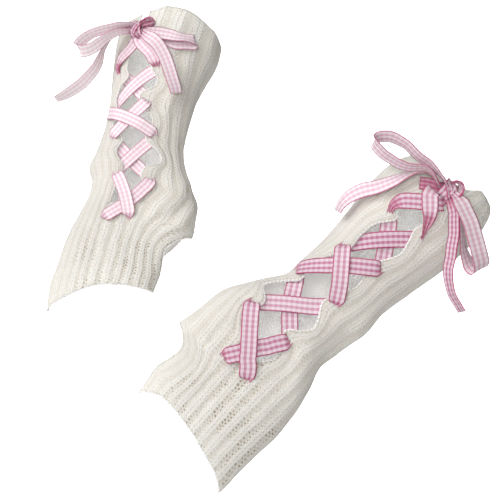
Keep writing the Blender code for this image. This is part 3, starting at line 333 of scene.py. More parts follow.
def smooth(xs, ys, at):
    xs, ys = np.asarray(xs, float), np.asarray(ys, float)  # never swings past the points
    slopes = np.diff(ys) / np.diff(xs)
    tangents = np.concatenate([slopes[:1], 0 * slopes[1:], slopes[-1:]])
    before, after = slopes[:-1], slopes[1:]
    both = np.where(before * after > 0, before + after, 1)
    tangents[1:-1] = np.where(before * after > 0, 2 * before * after / both, 0)
    return hermite(xs, ys, tangents, at)


def rounded(xs, ys, at):
    return hermite(xs, ys, np.gradient(ys, xs), at)


def column(rows, index, at, scale=mm):
    table = np.array(rows, float)
    return smooth(table[:, 0] * scale, table[:, index] * mm, at)


def ease(at, start, end):
    t = np.clip((at - start) / (end - start), 0, 1)
    return t * t * (3 - 2 * t)


def unit(vectors):
    return vectors / np.linalg.norm(vectors, axis=-1, keepdims=True)


def sectionAt(arm, along):
    thumb, finger, back, palm = (column(arm["sections"], i, along) - wallThick for i in (1, 2, 3, 4))
    forearm = ease(along, cloth["handEnds"] * mm, cloth["forearmStarts"] * mm)
    square = cloth["handSquare"] + (cloth["forearmSquare"] - cloth["handSquare"]) * forearm
    return (thumb - finger) / 2, (thumb + finger) / 2, back, palm, square


def quarter(half, deep, square):
    angles = np.linspace(0, np.pi / 2, cloth["quarterSteps"] + 1)
    power = (2 / np.asarray(square))[..., None]
    x = half[..., None] * np.sin(angles) ** power
    y = deep[..., None] * np.maximum(np.cos(angles), 0) ** power
    lengths = np.hypot(np.diff(x, axis=-1), np.diff(y, axis=-1))
    return angles, np.concatenate([0 * x[..., :1], np.cumsum(lengths, axis=-1)], axis=-1)


def nextTo(behind, i):
    return (np.take_along_axis(behind, i + step, -1)[..., 0] for step in (0, 1))


def angleAt(half, deep, square, share):
    angles, behind = quarter(half, deep, square)
    behind = behind / behind[..., -1:]
    i = np.clip((behind < share[..., None]).sum(axis=-1) - 1, 0, len(angles) - 2)[..., None]
    low, high = nextTo(behind, i)
    part = np.clip((share - low) / np.maximum(high - low, 1e-12), 0, 1)
    return angles[i[..., 0]] + part * (angles[1] - angles[0])


def shareAt(arm, along, across):
    middle, half, back, _, square = sectionAt(arm, along)
    reach = np.clip((across - middle) / half, -cloth["widest"], cloth["widest"])
    angles, behind = quarter(half, back, square)
    place = np.arcsin(np.abs(reach) ** (square / 2)) / (angles[1] - angles[0])
    i = np.clip(place.astype(int), 0, len(angles) - 2)[..., None]
    low, high = nextTo(behind, i)
    return np.sign(reach) * (low + (high - low) * (place - i[..., 0])) / behind[..., -1]


def quarterLength(arm, along, palmSide=False):
    _, half, back, palm, square = sectionAt(arm, along)
    return quarter(half, palm if palmSide else back, square)[1][..., -1]


def barePoint(arm, along, share):
    middle, half, back, palm, square = sectionAt(arm, along)
    share = (share + 2) % 4 - 2
    onPalm = np.abs(share) > 1
    deep = np.where(onPalm, palm, back)
    angle = angleAt(half, deep, square, np.where(onPalm, 2 - np.abs(share), np.abs(share)))
    across = middle + np.sign(share) * half * np.sin(angle) ** (2 / square)
    out = np.where(onPalm, -1, 1) * deep * np.maximum(np.cos(angle), 0) ** (2 / square)
    return np.stack([arm["side"] * across, out, along + 0 * across], axis=-1)


def foldHeight(arm, along, share):
    height = np.zeros(np.broadcast(along, share).shape)
    for start, place, length, width, rise, slant in arm["folds"] + arm["softFolds"]:
        size = quarterLength(arm, np.full(1, start * mm), abs(place) > 1)[0]
        around = ((share - place + 2) % 4 - 2) * size
        turn = np.radians(slant)
        run = (along - start * mm) * np.cos(turn) + around * np.sin(turn)
        off = around * np.cos(turn) - (along - start * mm) * np.sin(turn)
        taper = np.exp(-((run / (length * mm / 2)) ** 4))
        height += rise * mm * taper * np.exp(-((off / (width * mm)) ** 2))
    return height


def wallFrame(arm, along, share):
    along, share = np.broadcast_arrays(np.asarray(along, float), np.asarray(share, float))
    centre = barePoint(arm, along, share)
    near, beside = 0.5 * mm, 0.01  # steps small enough to give the wall's slopes
    forward = barePoint(arm, along + near, share) - barePoint(arm, along - near, share)
    sideways = barePoint(arm, along, share + beside) - barePoint(arm, along, share - beside)
    normal = unit(np.cross(forward, sideways) * arm["side"])
    return centre + normal * foldHeight(arm, along, share)[..., None], normal


def armTurn(arm):
    rise, lean = np.radians(arm["rise"]), np.radians(arm["lean"])
    along = Vector((np.cos(lean) * np.cos(rise), np.sin(lean), np.cos(lean) * np.sin(rise)))
    out = Vector((np.sin(lean) * np.cos(rise), -np.cos(lean), np.sin(lean) * np.sin(rise)))
    return Matrix((out.cross(along), out, along)).transposed()


def armPlace(arm):
    hold = placing["holdAlong"] * mm
    held = Vector((sectionAt(leftArm, np.array([hold]))[0][0], 0, hold))
    hem = -(armTurn(leftArm) @ held)
    if arm is rightArm:
        hem = hem + Vector(placing["pairStep"]) * mm
    return np.array(armTurn(arm)), np.array(hem)


def toWorld(arm, points):
    turn, shift = armPlace(arm)
    return points @ turn.T + shift


def turned(arm, vectors):
    return vectors @ armPlace(arm)[0].T


def wallPoint(arm, along, share, out):
    base, normal = wallFrame(arm, along, share)
    return toWorld(arm, base + normal * np.asarray(out)[..., None]), turned(arm, normal)


def edgeShare(arm, along, edge):
    return shareAt(arm, along, column(arm[edge], 1, along))


def edgeTrend(arm, along, edge):
    steps = np.linspace(-1, 1, cloth["scallopSamples"]) * cloth["scallopReach"] * mm
    return sum(edgeShare(arm, along + step, edge) for step in steps) / len(steps)


def lipAt(arm, along, onPalm):
    return np.maximum(column(arm["thumbOpening"], 2 if onPalm else 1, along), 0)


def seamShare(arm, along, edge, onPalm=False):
    share = 1 + cloth["seamDrift"] * ease(along, cloth["handEnds"] * mm, cloth["forearmStarts"] * mm)
    if edge == "fingerEdge":
        return -share
    shift = lipAt(arm, along, onPalm) / quarterLength(arm, along, onPalm)
    return share + (shift if onPalm else -shift)


def sway(arm, along):
    starts, length, reach = (value * mm for value in arm["ribSway"])
    part = np.clip((along - starts) / length, 0, 1)
    return reach * np.sin(2 * np.pi * part) * np.sin(np.pi * part)


def sideShare(arm, along, rib, edge):
    start, trend = edgeShare(arm, along, edge), edgeTrend(arm, along, edge)
    share = trend + (seamShare(arm, along, edge) - trend) * rib + (start - trend) * (1 - rib) ** 3
    if edge == "thumbEdge":
        share = share - sway(arm, along) * np.sin(np.pi * rib) / quarterLength(arm, along)
    return share


def middleShare(arm, along, rib):
    start, end = edgeShare(arm, along, "fingerEdge"), edgeShare(arm, along, "thumbEdge")
    return start + (end - start) * rib


def palmShare(arm, along, rib):
    start = seamShare(arm, along, "thumbEdge", True)
    return start + (seamShare(arm, along, "fingerEdge") + 4 - start) * rib


def rowLevel(arm, row):
    rows = np.array(arm["rows"], float)
    return np.interp(row, rows[:, 0], rows[:, 1] * mm)


def placeRow(arm, row, share):
    share = (share + 2) % 4 - 2
    last = arm["rows"][-1][0]
    hem, bottom, cuff = (column(arm["lines"], i, share, 1) - rowLevel(arm, fixed)
                         for i, fixed in ((1, 0), (2, arm["bottomRow"]), (3, last)))
    level = rowLevel(arm, row) + hem * np.maximum(0, 1 - row / arm["openingRow"]) ** 2
    stops = [arm["openingRow"] - 1, arm["bottomRow"], arm["bottomRow"] + cloth["blendRows"]]
    fromCuff = (row - (1 - cloth["cuffRows"]) * last) / (cloth["cuffRows"] * last)
    return level + bottom * np.interp(row, stops, [0, 1, 0]) + cuff * np.maximum(0, fromCuff) ** 2


# a node's output, with which sums are written as sums and become Math nodes
class nodeValue:
    def __init__(self, tree, socket):
        self.tree, self.socket = tree, socket


def sumOf(operation, swapped):
    def made(value, other):
        return calc(operation, *((other, value) if swapped else (value, other)))
    return made


for sign, operation in (("add", "ADD"), ("sub", "SUBTRACT"), ("mul", "MULTIPLY"), ("truediv", "DIVIDE")):
    setattr(nodeValue, f"__{sign}__", sumOf(operation, False))
    setattr(nodeValue, f"__r{sign}__", sumOf(operation, True))


def feed(tree, value, socket):
    if isinstance(value, nodeValue):
        tree.links.new(value.socket, socket)
    else:
        socket.default_value = value


def add(tree, kind, feeds=None, **settings):
    made = tree.nodes.new(kind)
    for name, value in settings.items():
        setattr(made, name, value)
    for name, value in (feeds or {}).items():
        feed(tree, value, made.inputs[name])
    return made


def result(tree, kind, feeds=None, output=0, **settings):
    return nodeValue(tree, add(tree, kind, feeds, **settings).outputs[output])


def results(tree, kind, feeds=None, **settings):
    return {item.name: nodeValue(tree, item) for item in add(tree, kind, feeds, **settings).outputs}


def treeOf(values):
    return next(value.tree for value in values if isinstance(value, nodeValue))


def calc(operation, *values):
    return result(treeOf(values), "ShaderNodeMath", dict(enumerate(values)), operation=operation)


def vectorCalc(operation, first, second):
    feeds = {0: first, "Scale" if operation == "SCALE" else 1: second}
    return result(first.tree, "ShaderNodeVectorMath", feeds, operation=operation)


def between(value, low, high, toLow=0.0, toHigh=1.0):
    feeds = {"Value": value, "From Min": low, "From Max": high, "To Min": toLow, "To Max": toHigh}
    return result(value.tree, "ShaderNodeMapRange", feeds, interpolation_type="SMOOTHSTEP")


def noise(place, scale, detail, output="Fac"):
    feeds = {"Vector": place, "Scale": scale, "Detail": detail}
    return result(place.tree, "ShaderNodeTexNoise", feeds, output)


def attribute(tree, name, kind="FLOAT"):
    return result(tree, "GeometryNodeInputNamedAttribute", {"Name": name}, data_type=kind)


def store(shape, name, value, kind="FLOAT", domain="POINT"):
    feeds = {"Geometry": shape, "Name": name, "Value": value}
    return result(shape.tree, "GeometryNodeStoreNamedAttribute", feeds, data_type=kind, domain=domain)


def shadedSmooth(shape, chosen=True):
    feeds = {"Geometry": shape, "Selection": chosen, "Shade Smooth": True}
    return result(shape.tree, "GeometryNodeSetShadeSmooth", feeds)


def newTree(name, inputs, outputs=(("Geometry", "Geometry"),), kind="GeometryNodeTree"):
    tree = bpy.data.node_groups.new(name, kind)
    for label, socketKind, value in inputs:
        socket = tree.interface.new_socket(label, in_out="INPUT", socket_type="NodeSocket" + socketKind)
        if value is not None:
            socket.default_value = value
    for label, socketKind in outputs:
        tree.interface.new_socket(label, in_out="OUTPUT", socket_type="NodeSocket" + socketKind)
    return tree, results(tree, "NodeGroupInput"), add(tree, "NodeGroupOutput").inputs


def closeGroup(tree, ends, values):
    for label, value in values.items():
        feed(tree, value, ends[label])
    return tree


def closeTree(tree, ends, shape, finish):
    whole = result(tree, "GeometryNodeRealizeInstances", {"Geometry": shape})
    ended = result(tree, "GeometryNodeSetMaterial", {"Geometry": whole, "Material": finish})
    return closeGroup(tree, ends, {"Geometry": ended})


def runTree(name, mesh, tree, values):
    holder = bpy.data.objects.new(name + "Path", mesh)
    bpy.context.scene.collection.objects.link(holder)
    modifier = holder.modifiers.new("shape", "NODES")
    modifier.node_group = tree
    sockets = {item.name: item.identifier for item in tree.interface.items_tree}
    for label, value in values.items():
        modifier[sockets[label]] = value
    graph = bpy.context.evaluated_depsgraph_get()
    made = bpy.data.meshes.new_from_object(holder.evaluated_get(graph), depsgraph=graph)
    bpy.data.objects.remove(holder)
    made.name = name
    return made


def finishMesh(*meshes):
    joined = bmesh.new()
    for mesh in meshes:
        joined.from_mesh(mesh)
    bmesh.ops.recalc_face_normals(joined, faces=joined.faces)
    joined.to_mesh(meshes[0])
    joined.free()
    return meshes[0]


def addPiece(name, mesh, replaced=()):
    piece = bpy.data.objects.new(name, mesh)
    bpy.context.scene.collection.objects.link(piece)
    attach(piece, "root")
    if replaced:
        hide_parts(*replaced)
    return piece


def addAttributes(mesh, floats, vectors):
    for kind, field, items in (("FLOAT", "value", floats), ("FLOAT_VECTOR", "vector", vectors)):
        for label, values in items.items():
            made = mesh.attributes.new(label, kind, "POINT")
            made.data.foreach_set(field, np.asarray(values, np.float32).ravel())
    return mesh


def lineMesh(name, lines):
    points, edges = [], []
    for line in lines:
        first = len(points)
        points += line.tolist()
        edges += [(first + i, first + i + 1) for i in range(len(line) - 1)]
    mesh = bpy.data.meshes.new(name)
    mesh.from_pydata(points, edges, [])
    return mesh


def ribbonTree():
    tree, given, ends = newTree("ribbonAlongPath", [
        ("Geometry", "Geometry", None), ("Columns", "Int", 11), ("Width", "Float", 0.0115),
        ("Thickness", "Float", 0.0006), ("Curl", "Float", 0.06), ("Cup Level", "Float", 0.35),
        ("Pleat Depth", "Float", 0.0012), ("Pleat Turn", "Float", 7.6), ("Merge", "Float", 0.00001),
        ("Cloth", "Material", None)])
    path, columns, vector = given["Geometry"], given["Columns"], "FLOAT_VECTOR"
    size = results(tree, "GeometryNodeAttributeDomainSize", {"Geometry": path}, component="MESH")
    feeds = {"Vertices X": size["Point Count"], "Vertices Y": columns}
    sheet = result(tree, "GeometryNodeMeshGrid", feeds, "Mesh")
    index = result(tree, "GeometryNodeInputIndex")
    row = calc("FLOOR", (index + 0.5) / columns)
    side = (index - row * columns) * 2.0 / (columns - 1.0) - 1.0  # -1 to 1 over the width

    def sampled(value, kind="FLOAT"):
        feeds = {"Geometry": path, "Value": value, "Index": row}
        return result(tree, "GeometryNodeSampleIndex", feeds, data_type=kind, domain="POINT")

    centre = sampled(result(tree, "GeometryNodeInputPosition"), vector)
    across, facing = (sampled(attribute(tree, name, vector), vector) for name in ("across", "facing"))
    half, tone, run = (sampled(attribute(tree, name)) for name in ("halfWidth", "tone", "run"))
    cupped = given["Curl"] * half * (side * side - given["Cup Level"])
    slack = 1.0 - half * 2.0 / given["Width"]
    pleat = calc("COSINE", side * given["Pleat Turn"]) * given["Pleat Depth"] * calc("MAXIMUM", slack, 0.0)
    offset = vectorCalc("ADD", vectorCalc("SCALE", across, half * side),
                        vectorCalc("SCALE", facing, cupped + pleat))
    sheet = store(store(sheet, "facing", facing, vector), "tone", tone)
    chart = result(tree, "ShaderNodeCombineXYZ", {0: (side + 1.0) * 0.5 * given["Width"], 1: run})
    chart = result(tree, "GeometryNodeFieldOnDomain", {"Value": chart}, data_type=vector, domain="POINT")
    sheet = store(sheet, "chart", chart, "FLOAT2", "CORNER")
    feeds = {"Geometry": sheet, "Position": vectorCalc("ADD", centre, offset)}
    sheet = result(tree, "GeometryNodeSetPosition", feeds)
    thick = vectorCalc("SCALE", attribute(tree, "facing", vector), given["Thickness"])
    feeds = {"Geometry": sheet, "Offset": vectorCalc("SCALE", thick, -0.5)}
    sheet = result(tree, "GeometryNodeSetPosition", feeds)
    feeds = {"Mesh": sheet, "Offset": thick, "Offset Scale": 1.0, "Individual": False}
    raised = results(tree, "GeometryNodeExtrudeMesh", feeds, mode="FACES")
    under = result(tree, "GeometryNodeFlipFaces", {"Mesh": sheet})
    both = add(tree, "GeometryNodeJoinGeometry")
    for part in (shadedSmooth(raised["Mesh"], 1.0 - raised["Side"]), shadedSmooth(under)):
        feed(tree, part, both.inputs[0])
    feeds = {"Geometry": nodeValue(tree, both.outputs[0]), "Distance": given["Merge"]}
    return closeTree(tree, ends, result(tree, "GeometryNodeMergeByDistance", feeds), given["Cloth"])


def knitTree():
    tree, given, ends = newTree("ribbedKnit", [
        ("Geometry", "Geometry", None), ("Rib Height", "Float", 0.0014), ("Rib Edge", "Float", 0.3),
        ("Rib Gap", "Float", 0.03), ("Wale Groove", "Float", 0.00022), ("Groove Width", "Float", 0.1),
        ("Unevenness", "Float", 0.0005), ("Uneven Scale", "Float", 60.0), ("Seed", "Float", 4.0),
        ("Plain Relief", "Float", 0.25), ("Cloth", "Material", None)])
    turn = calc("FRACT", attribute(tree, "ribPlace"))
    edge, gap = given["Rib Edge"], given["Rib Gap"]
    rib = between(turn, gap, edge) - between(turn, 1.0 - edge, 1.0 - gap)
    groove = 1.0 - between(calc("ABSOLUTE", turn - 0.5), 0.0, given["Groove Width"])
    height = rib * given["Rib Height"] - groove * given["Wale Groove"]
    feeds = {"W": given["Seed"], "Scale": given["Uneven Scale"], "Detail": 1.0}
    patchy = result(tree, "ShaderNodeTexNoise", feeds, "Fac", noise_dimensions="4D")
    height = height + (patchy - 0.5) * given["Unevenness"]
    crisp = between(attribute(tree, "crisp"), 0.2, 1.0, given["Plain Relief"], 1.0)
    lift = vectorCalc("SCALE", attribute(tree, "outward", "FLOAT_VECTOR"),
                      height * (attribute(tree, "relief") * crisp))
    raised = result(tree, "GeometryNodeSetPosition", {"Geometry": given["Geometry"], "Offset": lift})
    return closeTree(tree, ends, shadedSmooth(raised), given["Cloth"])


def edgeTree():
    tree, given, ends = newTree("castOffEdge", [
        ("Geometry", "Geometry", None), ("Pitch", "Float", 0.0028), ("Stitch Long", "Float", 0.0019),
        ("Stitch Wide", "Float", 0.0009), ("Stitch High", "Float", 0.0011), ("Slant", "Float", 0.3),
        ("Segments", "Int", 8), ("Rings", "Int", 5), ("Cloth", "Material", None)])
    line = result(tree, "GeometryNodeMeshToCurve", {"Mesh": given["Geometry"]})
    feeds = {"Curve": line, "Length": given["Pitch"]}
    spaced = result(tree, "GeometryNodeResampleCurve", feeds, mode="LENGTH")
    feeds = {"Segments": given["Segments"], "Rings": given["Rings"], "Radius": 1.0}
    stitch = result(tree, "GeometryNodeMeshUVSphere", feeds)
    outward = attribute(tree, "outward", "FLOAT_VECTOR")
    slanted = vectorCalc("SCALE", outward, given["Slant"])
    aim = vectorCalc("ADD", result(tree, "GeometryNodeInputTangent"), slanted)
    feeds = {"Primary Axis": aim, "Secondary Axis": outward}
    turn = result(tree, "FunctionNodeAxesToRotation", feeds, primary_axis="X", secondary_axis="Z")
    size = result(tree, "ShaderNodeCombineXYZ", {
        i: given[label] for i, label in enumerate(("Stitch Long", "Stitch Wide", "Stitch High"))})
    feeds = {"Points": spaced, "Instance": stitch, "Rotation": turn, "Scale": size}
    chain = result(tree, "GeometryNodeInstanceOnPoints", feeds)
    whole = result(tree, "GeometryNodeRealizeInstances", {"Geometry": chain})
    return closeTree(tree, ends, shadedSmooth(whole), given["Cloth"])


def stitchGroup():
    tree, given, ends = newTree("knitStitches", [
        ("Chart", "Vector", None), ("Wales", "Float", 4.0), ("Course", "Float", 2.8),
        ("Rib Pitch", "Float", 10.5), ("Wale Pitch", "Float", 2.6), ("Hole Size", "Float", 0.8),
        ("Hole Place", "Float", 0.13), ("Openness", "Float", 1.0)],
        [("Height", "Float"), ("Hole", "Float"), ("Furrow Shade", "Float"), ("Dimple Shade", "Float"),
         ("Wale Shade Line", "Float")], "ShaderNodeTree")
    parts = results(tree, "ShaderNodeSeparateXYZ", {0: given["Chart"]})
    place, course = parts["X"], parts["Y"] / given["Course"]
    rib = calc("FRACT", place)
    offWale = calc("ABSOLUTE", calc("FRACT", place * given["Wales"]) - 0.5)
    onRib = between(rib, 0.2, 0.28) - between(rib, 0.72, 0.8)
    leg = calc("SINE", calc("FRACT", course - offWale) * np.pi)
    legSide = calc("SINE", offWale * 2.0 * np.pi)
    plain = calc("SQRT", leg) * (legSide * 0.6 + 0.4)
    purl = calc("SINE", calc("FRACT", course * 2.0 + offWale * 0.8) * np.pi) * 0.8
    feeds = {"Factor": onRib, "A": purl, "B": plain}
    stitched = result(tree, "ShaderNodeMix", feeds, "Result", data_type="FLOAT")
    fromEdge = calc("MINIMUM", rib, 1.0 - rib)
    staggered = course + calc("GREATER_THAN", rib, 0.5) * 0.5

    def spot(sideways, level, small, large):
        lengthways = (calc("FRACT", level) - 0.5) * given["Course"]
        distance = calc("SQRT", sideways * sideways + lengthways * lengthways)
        return 1.0 - between(distance, small, large)

    feeds = {0: calc("ROUND", place * given["Wales"]), 1: calc("FLOOR", staggered)}
    cell = result(tree, "ShaderNodeCombineXYZ", feeds)
    chance = result(tree, "ShaderNodeTexWhiteNoise", {"Vector": cell}, "Value", noise_dimensions="2D")
    size = given["Hole Size"] * (0.65 + chance * 0.6)
    hole = spot((fromEdge - given["Hole Place"]) * given["Rib Pitch"], staggered, size * 0.35, size)
    hole = hole * (given["Openness"] * between(chance, 0.1, 0.8, 0.35, 1.0))
    fromWale = (0.5 - offWale) * given["Wale Pitch"]
    dimple = spot(fromWale, course, 0.1, 0.75) * between(chance, 0.0, 1.0, 0.4, 1.0)
    dimple = dimple * between(fromEdge, 0.1, 0.22)
    # the furrow, dimple, wale-line and hole masks mark where the material paints shade
    return closeGroup(tree, ends, {
        "Height": stitched - calc("MAXIMUM", hole * 1.3, dimple), "Hole": hole, "Dimple Shade": dimple,
        "Furrow Shade": 1.0 - between(fromEdge, 0.0, 0.26), "Wale Shade Line": 1.0 - between(fromWale, 0.0, 0.5)})


def fibreGroup():
    tree, given, ends = newTree("fibreTone", [
        ("Scale", "Float", 40.0), ("Amount", "Float", 0.1), ("Fuzz Scale", "Float", 1400.0)],
        [("Tone", "Float"), ("Fuzz", "Float")], "ShaderNodeTree")
    place = result(tree, "ShaderNodeTexCoord", None, "Object")
    tone = 1.0 + (noise(place, given["Scale"], 3.0) - 0.5) * given["Amount"]
    return closeGroup(tree, ends, {"Tone": tone, "Fuzz": noise(place, given["Fuzz Scale"], 2.0)})


def startMaterial(name, roughness, sheen=0.0):
    material = bpy.data.materials.new(name)
    material.use_nodes = True
    shader = material.node_tree.nodes["Principled BSDF"]
    for label, value in (("Roughness", roughness), ("Specular IOR Level", 0.25), ("Sheen Weight", sheen)):
        shader.inputs[label].default_value = value
    return material, material.node_tree, shader


def mixColour(factor, first, second, blend="MIX"):
    feeds = {0: factor, 6: first, 7: second}  # the colour sockets of a Mix node
    tree = treeOf((factor, first, second))
    return result(tree, "ShaderNodeMix", feeds, 2, data_type="RGBA", blend_type=blend)


def faceCloth(tree, shader, look, colour, tone, rough, height):
    grey = result(tree, "ShaderNodeCombineColor", {i: tone for i in range(3)})
    feeds = {"Height": height, "Strength": look["bumpStrength"], "Distance": look["bump"] * mm}
    for label, value in (("Base Color", mixColour(1.0, colour, grey, "MULTIPLY")), ("Roughness", rough),
                         ("Normal", result(tree, "ShaderNodeBump", feeds))):
        feed(tree, value, shader.inputs[label])


# sizes are in millimetres, but for softReach, how far light goes in the wool, in metres
knitLook = {
    # furrow, dimple and hole are painted shade: darker colour in the furrows, the stitch dents and the
    # pinholes
    "colour": (0.775, 0.762, 0.724, 1), "furrow": (0.62, 0.57, 0.48, 1), "hole": (0.3, 0.24, 0.17, 1),
    # inside is painted light: the inner face made near white
    "dimple": (0.44, 0.39, 0.32, 1), "inside": (0.985, 0.965, 0.93, 1),
    "litThrough": (0.06, 0.059, 0.056, 1),  # the faint light that the wall lets through to its inner face
    "line": 0.35, "foreLine": 0.8,  # how dark the painted shade lines between the wales are, above and over the hand
    "wales": 4, "course": 2.9, "holeSize": 0.95, "bump": 0.6, "bumpStrength": 0.7, "fuzz": 0.35,
    "patches": 34.0, "wander": 160.0, "drift": (0.16, 1.6, 0.0),  # what makes the stitches uneven
    "fibre": 30.0, "fibreAmount": 0.08, "roughness": 0.92, "sheen": 0.1,
    "soft": 0.8, "softReach": 0.006, "softColour": (0.88, 0.95, 1.0),
}


def knitMaterial(look, stitches, fibre):
    material, tree, shader = startMaterial("ribKnit", look["roughness"], look["sheen"])
    for label, value in (("Subsurface Weight", look["soft"]), ("Subsurface Radius", look["softColour"]),
                         ("Subsurface Scale", look["softReach"]), ("Emission Strength", 1.0)):
        shader.inputs[label].default_value = value
    place = result(tree, "ShaderNodeTexCoord", None, "Object")
    openwork, relief = (result(tree, "ShaderNodeAttribute", None, "Fac", attribute_name=name)
                        for name in ("openwork", "relief"))
    patches, drift = noise(place, look["patches"], 1.0), noise(place, look["wander"], 1.0, "Color")
    drift = vectorCalc("MULTIPLY", vectorCalc("SUBTRACT", drift, (0.5, 0.5, 0.5)), look["drift"])
    knit = results(tree, "ShaderNodeGroup", {
        "Chart": vectorCalc("ADD", result(tree, "ShaderNodeUVMap", uv_map="chart"), drift),
        "Wales": look["wales"], "Course": look["course"], "Hole Size": look["holeSize"],
        "Openness": between(patches, 0.36, 0.6, 0.2, 1.0) * openwork}, node_tree=stitches)
    feeds = {"Scale": look["fibre"], "Amount": look["fibreAmount"]}
    wool = results(tree, "ShaderNodeGroup", feeds, node_tree=fibre)
    # painted light: the inner face is made near white and glows faintly, standing in for light let through
    # the wall
    innerFaceLit = between(relief, 0.5, 0.6, 1.0, 0.0)
    colour = look["colour"]
    for mask, shade in (
            # painted shade: in the furrows, where the stitches sink, along the wale lines, in the dents and
            # in the pinholes
            (knit["Furrow Shade"] * 0.4, "furrow"), (between(knit["Height"], 0.0, 0.75, 0.5, 0.0), "furrow"),
            (knit["Wale Shade Line"] * between(openwork, 0.2, 0.9, look["foreLine"], look["line"]), "furrow"),
            (knit["Dimple Shade"] * (between(patches, 0.3, 0.7, 0.25, 0.6) * openwork), "dimple"),
            (knit["Hole"], "hole"), (innerFaceLit, "inside")):
        colour = mixColour(mask, colour, look[shade])
    feed(tree, mixColour(innerFaceLit, (0, 0, 0, 1), look["litThrough"]), shader.inputs["Emission Color"])
    rough = between(wool["Fuzz"], 0.2, 0.8, look["roughness"] - 0.08, look["roughness"] + 0.05)
    height = knit["Height"] + wool["Fuzz"] * look["fuzz"]
    faceCloth(tree, shader, look, colour, wool["Tone"], rough, height)
    return material


ribbonLook = {
    # the gingham's white and pink each come as a full shaded copy and a pale lit copy, mixed by tone:
    # painted light and shade
    "white": (0.64, 0.52, 0.58, 1), "pink": (0.43, 0.135, 0.24, 1), "deep": (0.4, 0.045, 0.13, 1),
    "litWhite": (0.96, 0.90, 0.92, 1), "litPink": (0.88, 0.67, 0.75, 1), "checks": 3,
    # the deep colour is painted shade in the folds and, along the edges, partly the woven edge line; the
    # fold value sets how far the painted fold shade goes
    "lengthwise": 0.75, "edge": 0.8, "yarn": 0.45, "foldShade": 0.5, "bump": 0.08, "bumpStrength": 0.5,
    "fibre": 90.0, "fibreAmount": 0.12, "roughness": 0.5, "sheen": 0.1,
}


def ginghamGroup(yarn):
    tree, given, ends = newTree("gingham", [
        ("Chart", "Vector", None), ("Checks", "Float", 3.0), ("Lengthwise", "Float", 0.6),
        ("Edge", "Float", 0.7), ("Width", "Float", 11.5)],
        [("Check", "Float"), ("Edge", "Float"), ("Height", "Float")], "ShaderNodeTree")
    parts = results(tree, "ShaderNodeSeparateXYZ", {0: given["Chart"]})
    bands, yarns = [], []
    for part in (parts["X"], parts["Y"]):
        turn = calc("FRACT", part / given["Width"] * given["Checks"])
        bands.append(between(calc("ABSOLUTE", turn - 0.5), 0.2, 0.3))
        yarns.append(calc("SINE", part * (2 * np.pi / yarn)))
    share = given["Lengthwise"]
    fromSide = calc("MINIMUM", parts["X"], given["Width"] - parts["X"])
    edge = 1.0 - between(fromSide, given["Edge"] * 0.4, given["Edge"])
    return closeGroup(tree, ends, {
        "Check": bands[0] * share + bands[1] * (1.0 - share), "Edge": edge,
        "Height": yarns[0] * yarns[1] * 0.5 + edge * 1.5})


def ribbonMaterial(look, gingham, fibre):
    material, tree, shader = startMaterial("ginghamRibbon", look["roughness"], look["sheen"])
    chart = vectorCalc("SCALE", result(tree, "ShaderNodeUVMap", uv_map="chart"), 1 / mm)
    paintedShade = result(tree, "ShaderNodeAttribute", None, "Fac", attribute_name="tone")
    woven = results(tree, "ShaderNodeGroup", {
        "Chart": chart, "Checks": look["checks"], "Lengthwise": look["lengthwise"],
        "Edge": look["edge"], "Width": ribbon["width"]}, node_tree=gingham)
    feeds = {"Scale": look["fibre"], "Amount": look["fibreAmount"]}
    thread = results(tree, "ShaderNodeGroup", feeds, node_tree=fibre)
    # painted light and shade: tone mixes the pale lit copy and the full shaded copy of each gingham colour
    colour = mixColour(woven["Check"], mixColour(paintedShade, look["litWhite"], look["white"]),
                       mixColour(paintedShade, look["litPink"], look["pink"]))
    # dark along the edges: partly the woven edge line, partly painted shade, stronger as the tone deepens;
    # tone past full adds painted shade in folds
    for mask in (woven["Edge"] * between(paintedShade, 0.0, 1.0, 0.5, 0.95),
                 between(paintedShade, 1.0, ribbon["deepest"], 0.0, look["foldShade"])):
        colour = mixColour(mask, colour, look["deep"])
    rough = between(woven["Height"], -0.5, 1.0, look["roughness"] - 0.08, look["roughness"] + 0.12)
    faceCloth(tree, shader, look, colour, thread["Tone"], rough, woven["Height"])
    return material


ribbon = {
    "width": 11.7, "thick": 0.6, "step": 2.2, "columns": 11, "curl": 0.05, "pleat": 1.4,
    "outside": 1.1, "inside": 1.7,  # how far a band's middle lies off the wall's outer and inner face
    "rise": 1.45, "humpFlat": 10, "humpEnds": 19, "climb": (7, 14),  # where one band rides over another
    # where a band goes through a hole: width left, over what length, depth in the wall as a share
    "pinch": 0.78, "pinchLength": 5, "dive": 3.5, "through": 0.4, "throat": 0.5, "throatLength": 2.6,
    # painted shade: tone added where it narrows, tone added at its ends by the narrowing, deepest tone
    "narrowShade": 0.9, "endShade": 0.5, "endNarrows": (0.05, 0.3), "deepest": 1.3,
    # the free strands: width at the knot, where it starts and stops to spread, first point's share
    "knotWidth": 0.45, "spread": (2, 16), "loopStart": 0.8, "tailStart": 0.35,
}
# the knot's wraps and ear carry a deeper tone: painted shade round the knot
knot = {"long": 7.0, "deep": 4.6, "wide": 0.85, "tone": 0.8, "turn": (-120, 262), "points": 34,
        "foldSink": 0.25, "foldWide": 0.85, "earShade": 0.9, "earWide": 0.85}


def unrolled(arm, place):
    along = np.array([place[0] * mm])
    share = shareAt(arm, along, np.array([place[1] * mm]))
    return np.array([along[0], (share * quarterLength(arm, along))[0]])


def crossingPlace(arm, route, other):
    start, end, otherStart, otherEnd = (unrolled(arm, place) for place in (*route, *other))
    run, otherRun, gap = end - start, otherEnd - otherStart, otherStart - start
    part = (gap[0] * otherRun[1] - gap[1] * otherRun[0]) / (run[0] * otherRun[1] - run[1] * otherRun[0])
    return part * np.linalg.norm(run)


def runAlong(points):
    return np.concatenate([[0], np.cumsum(np.linalg.norm(np.diff(points, axis=0), axis=1))])


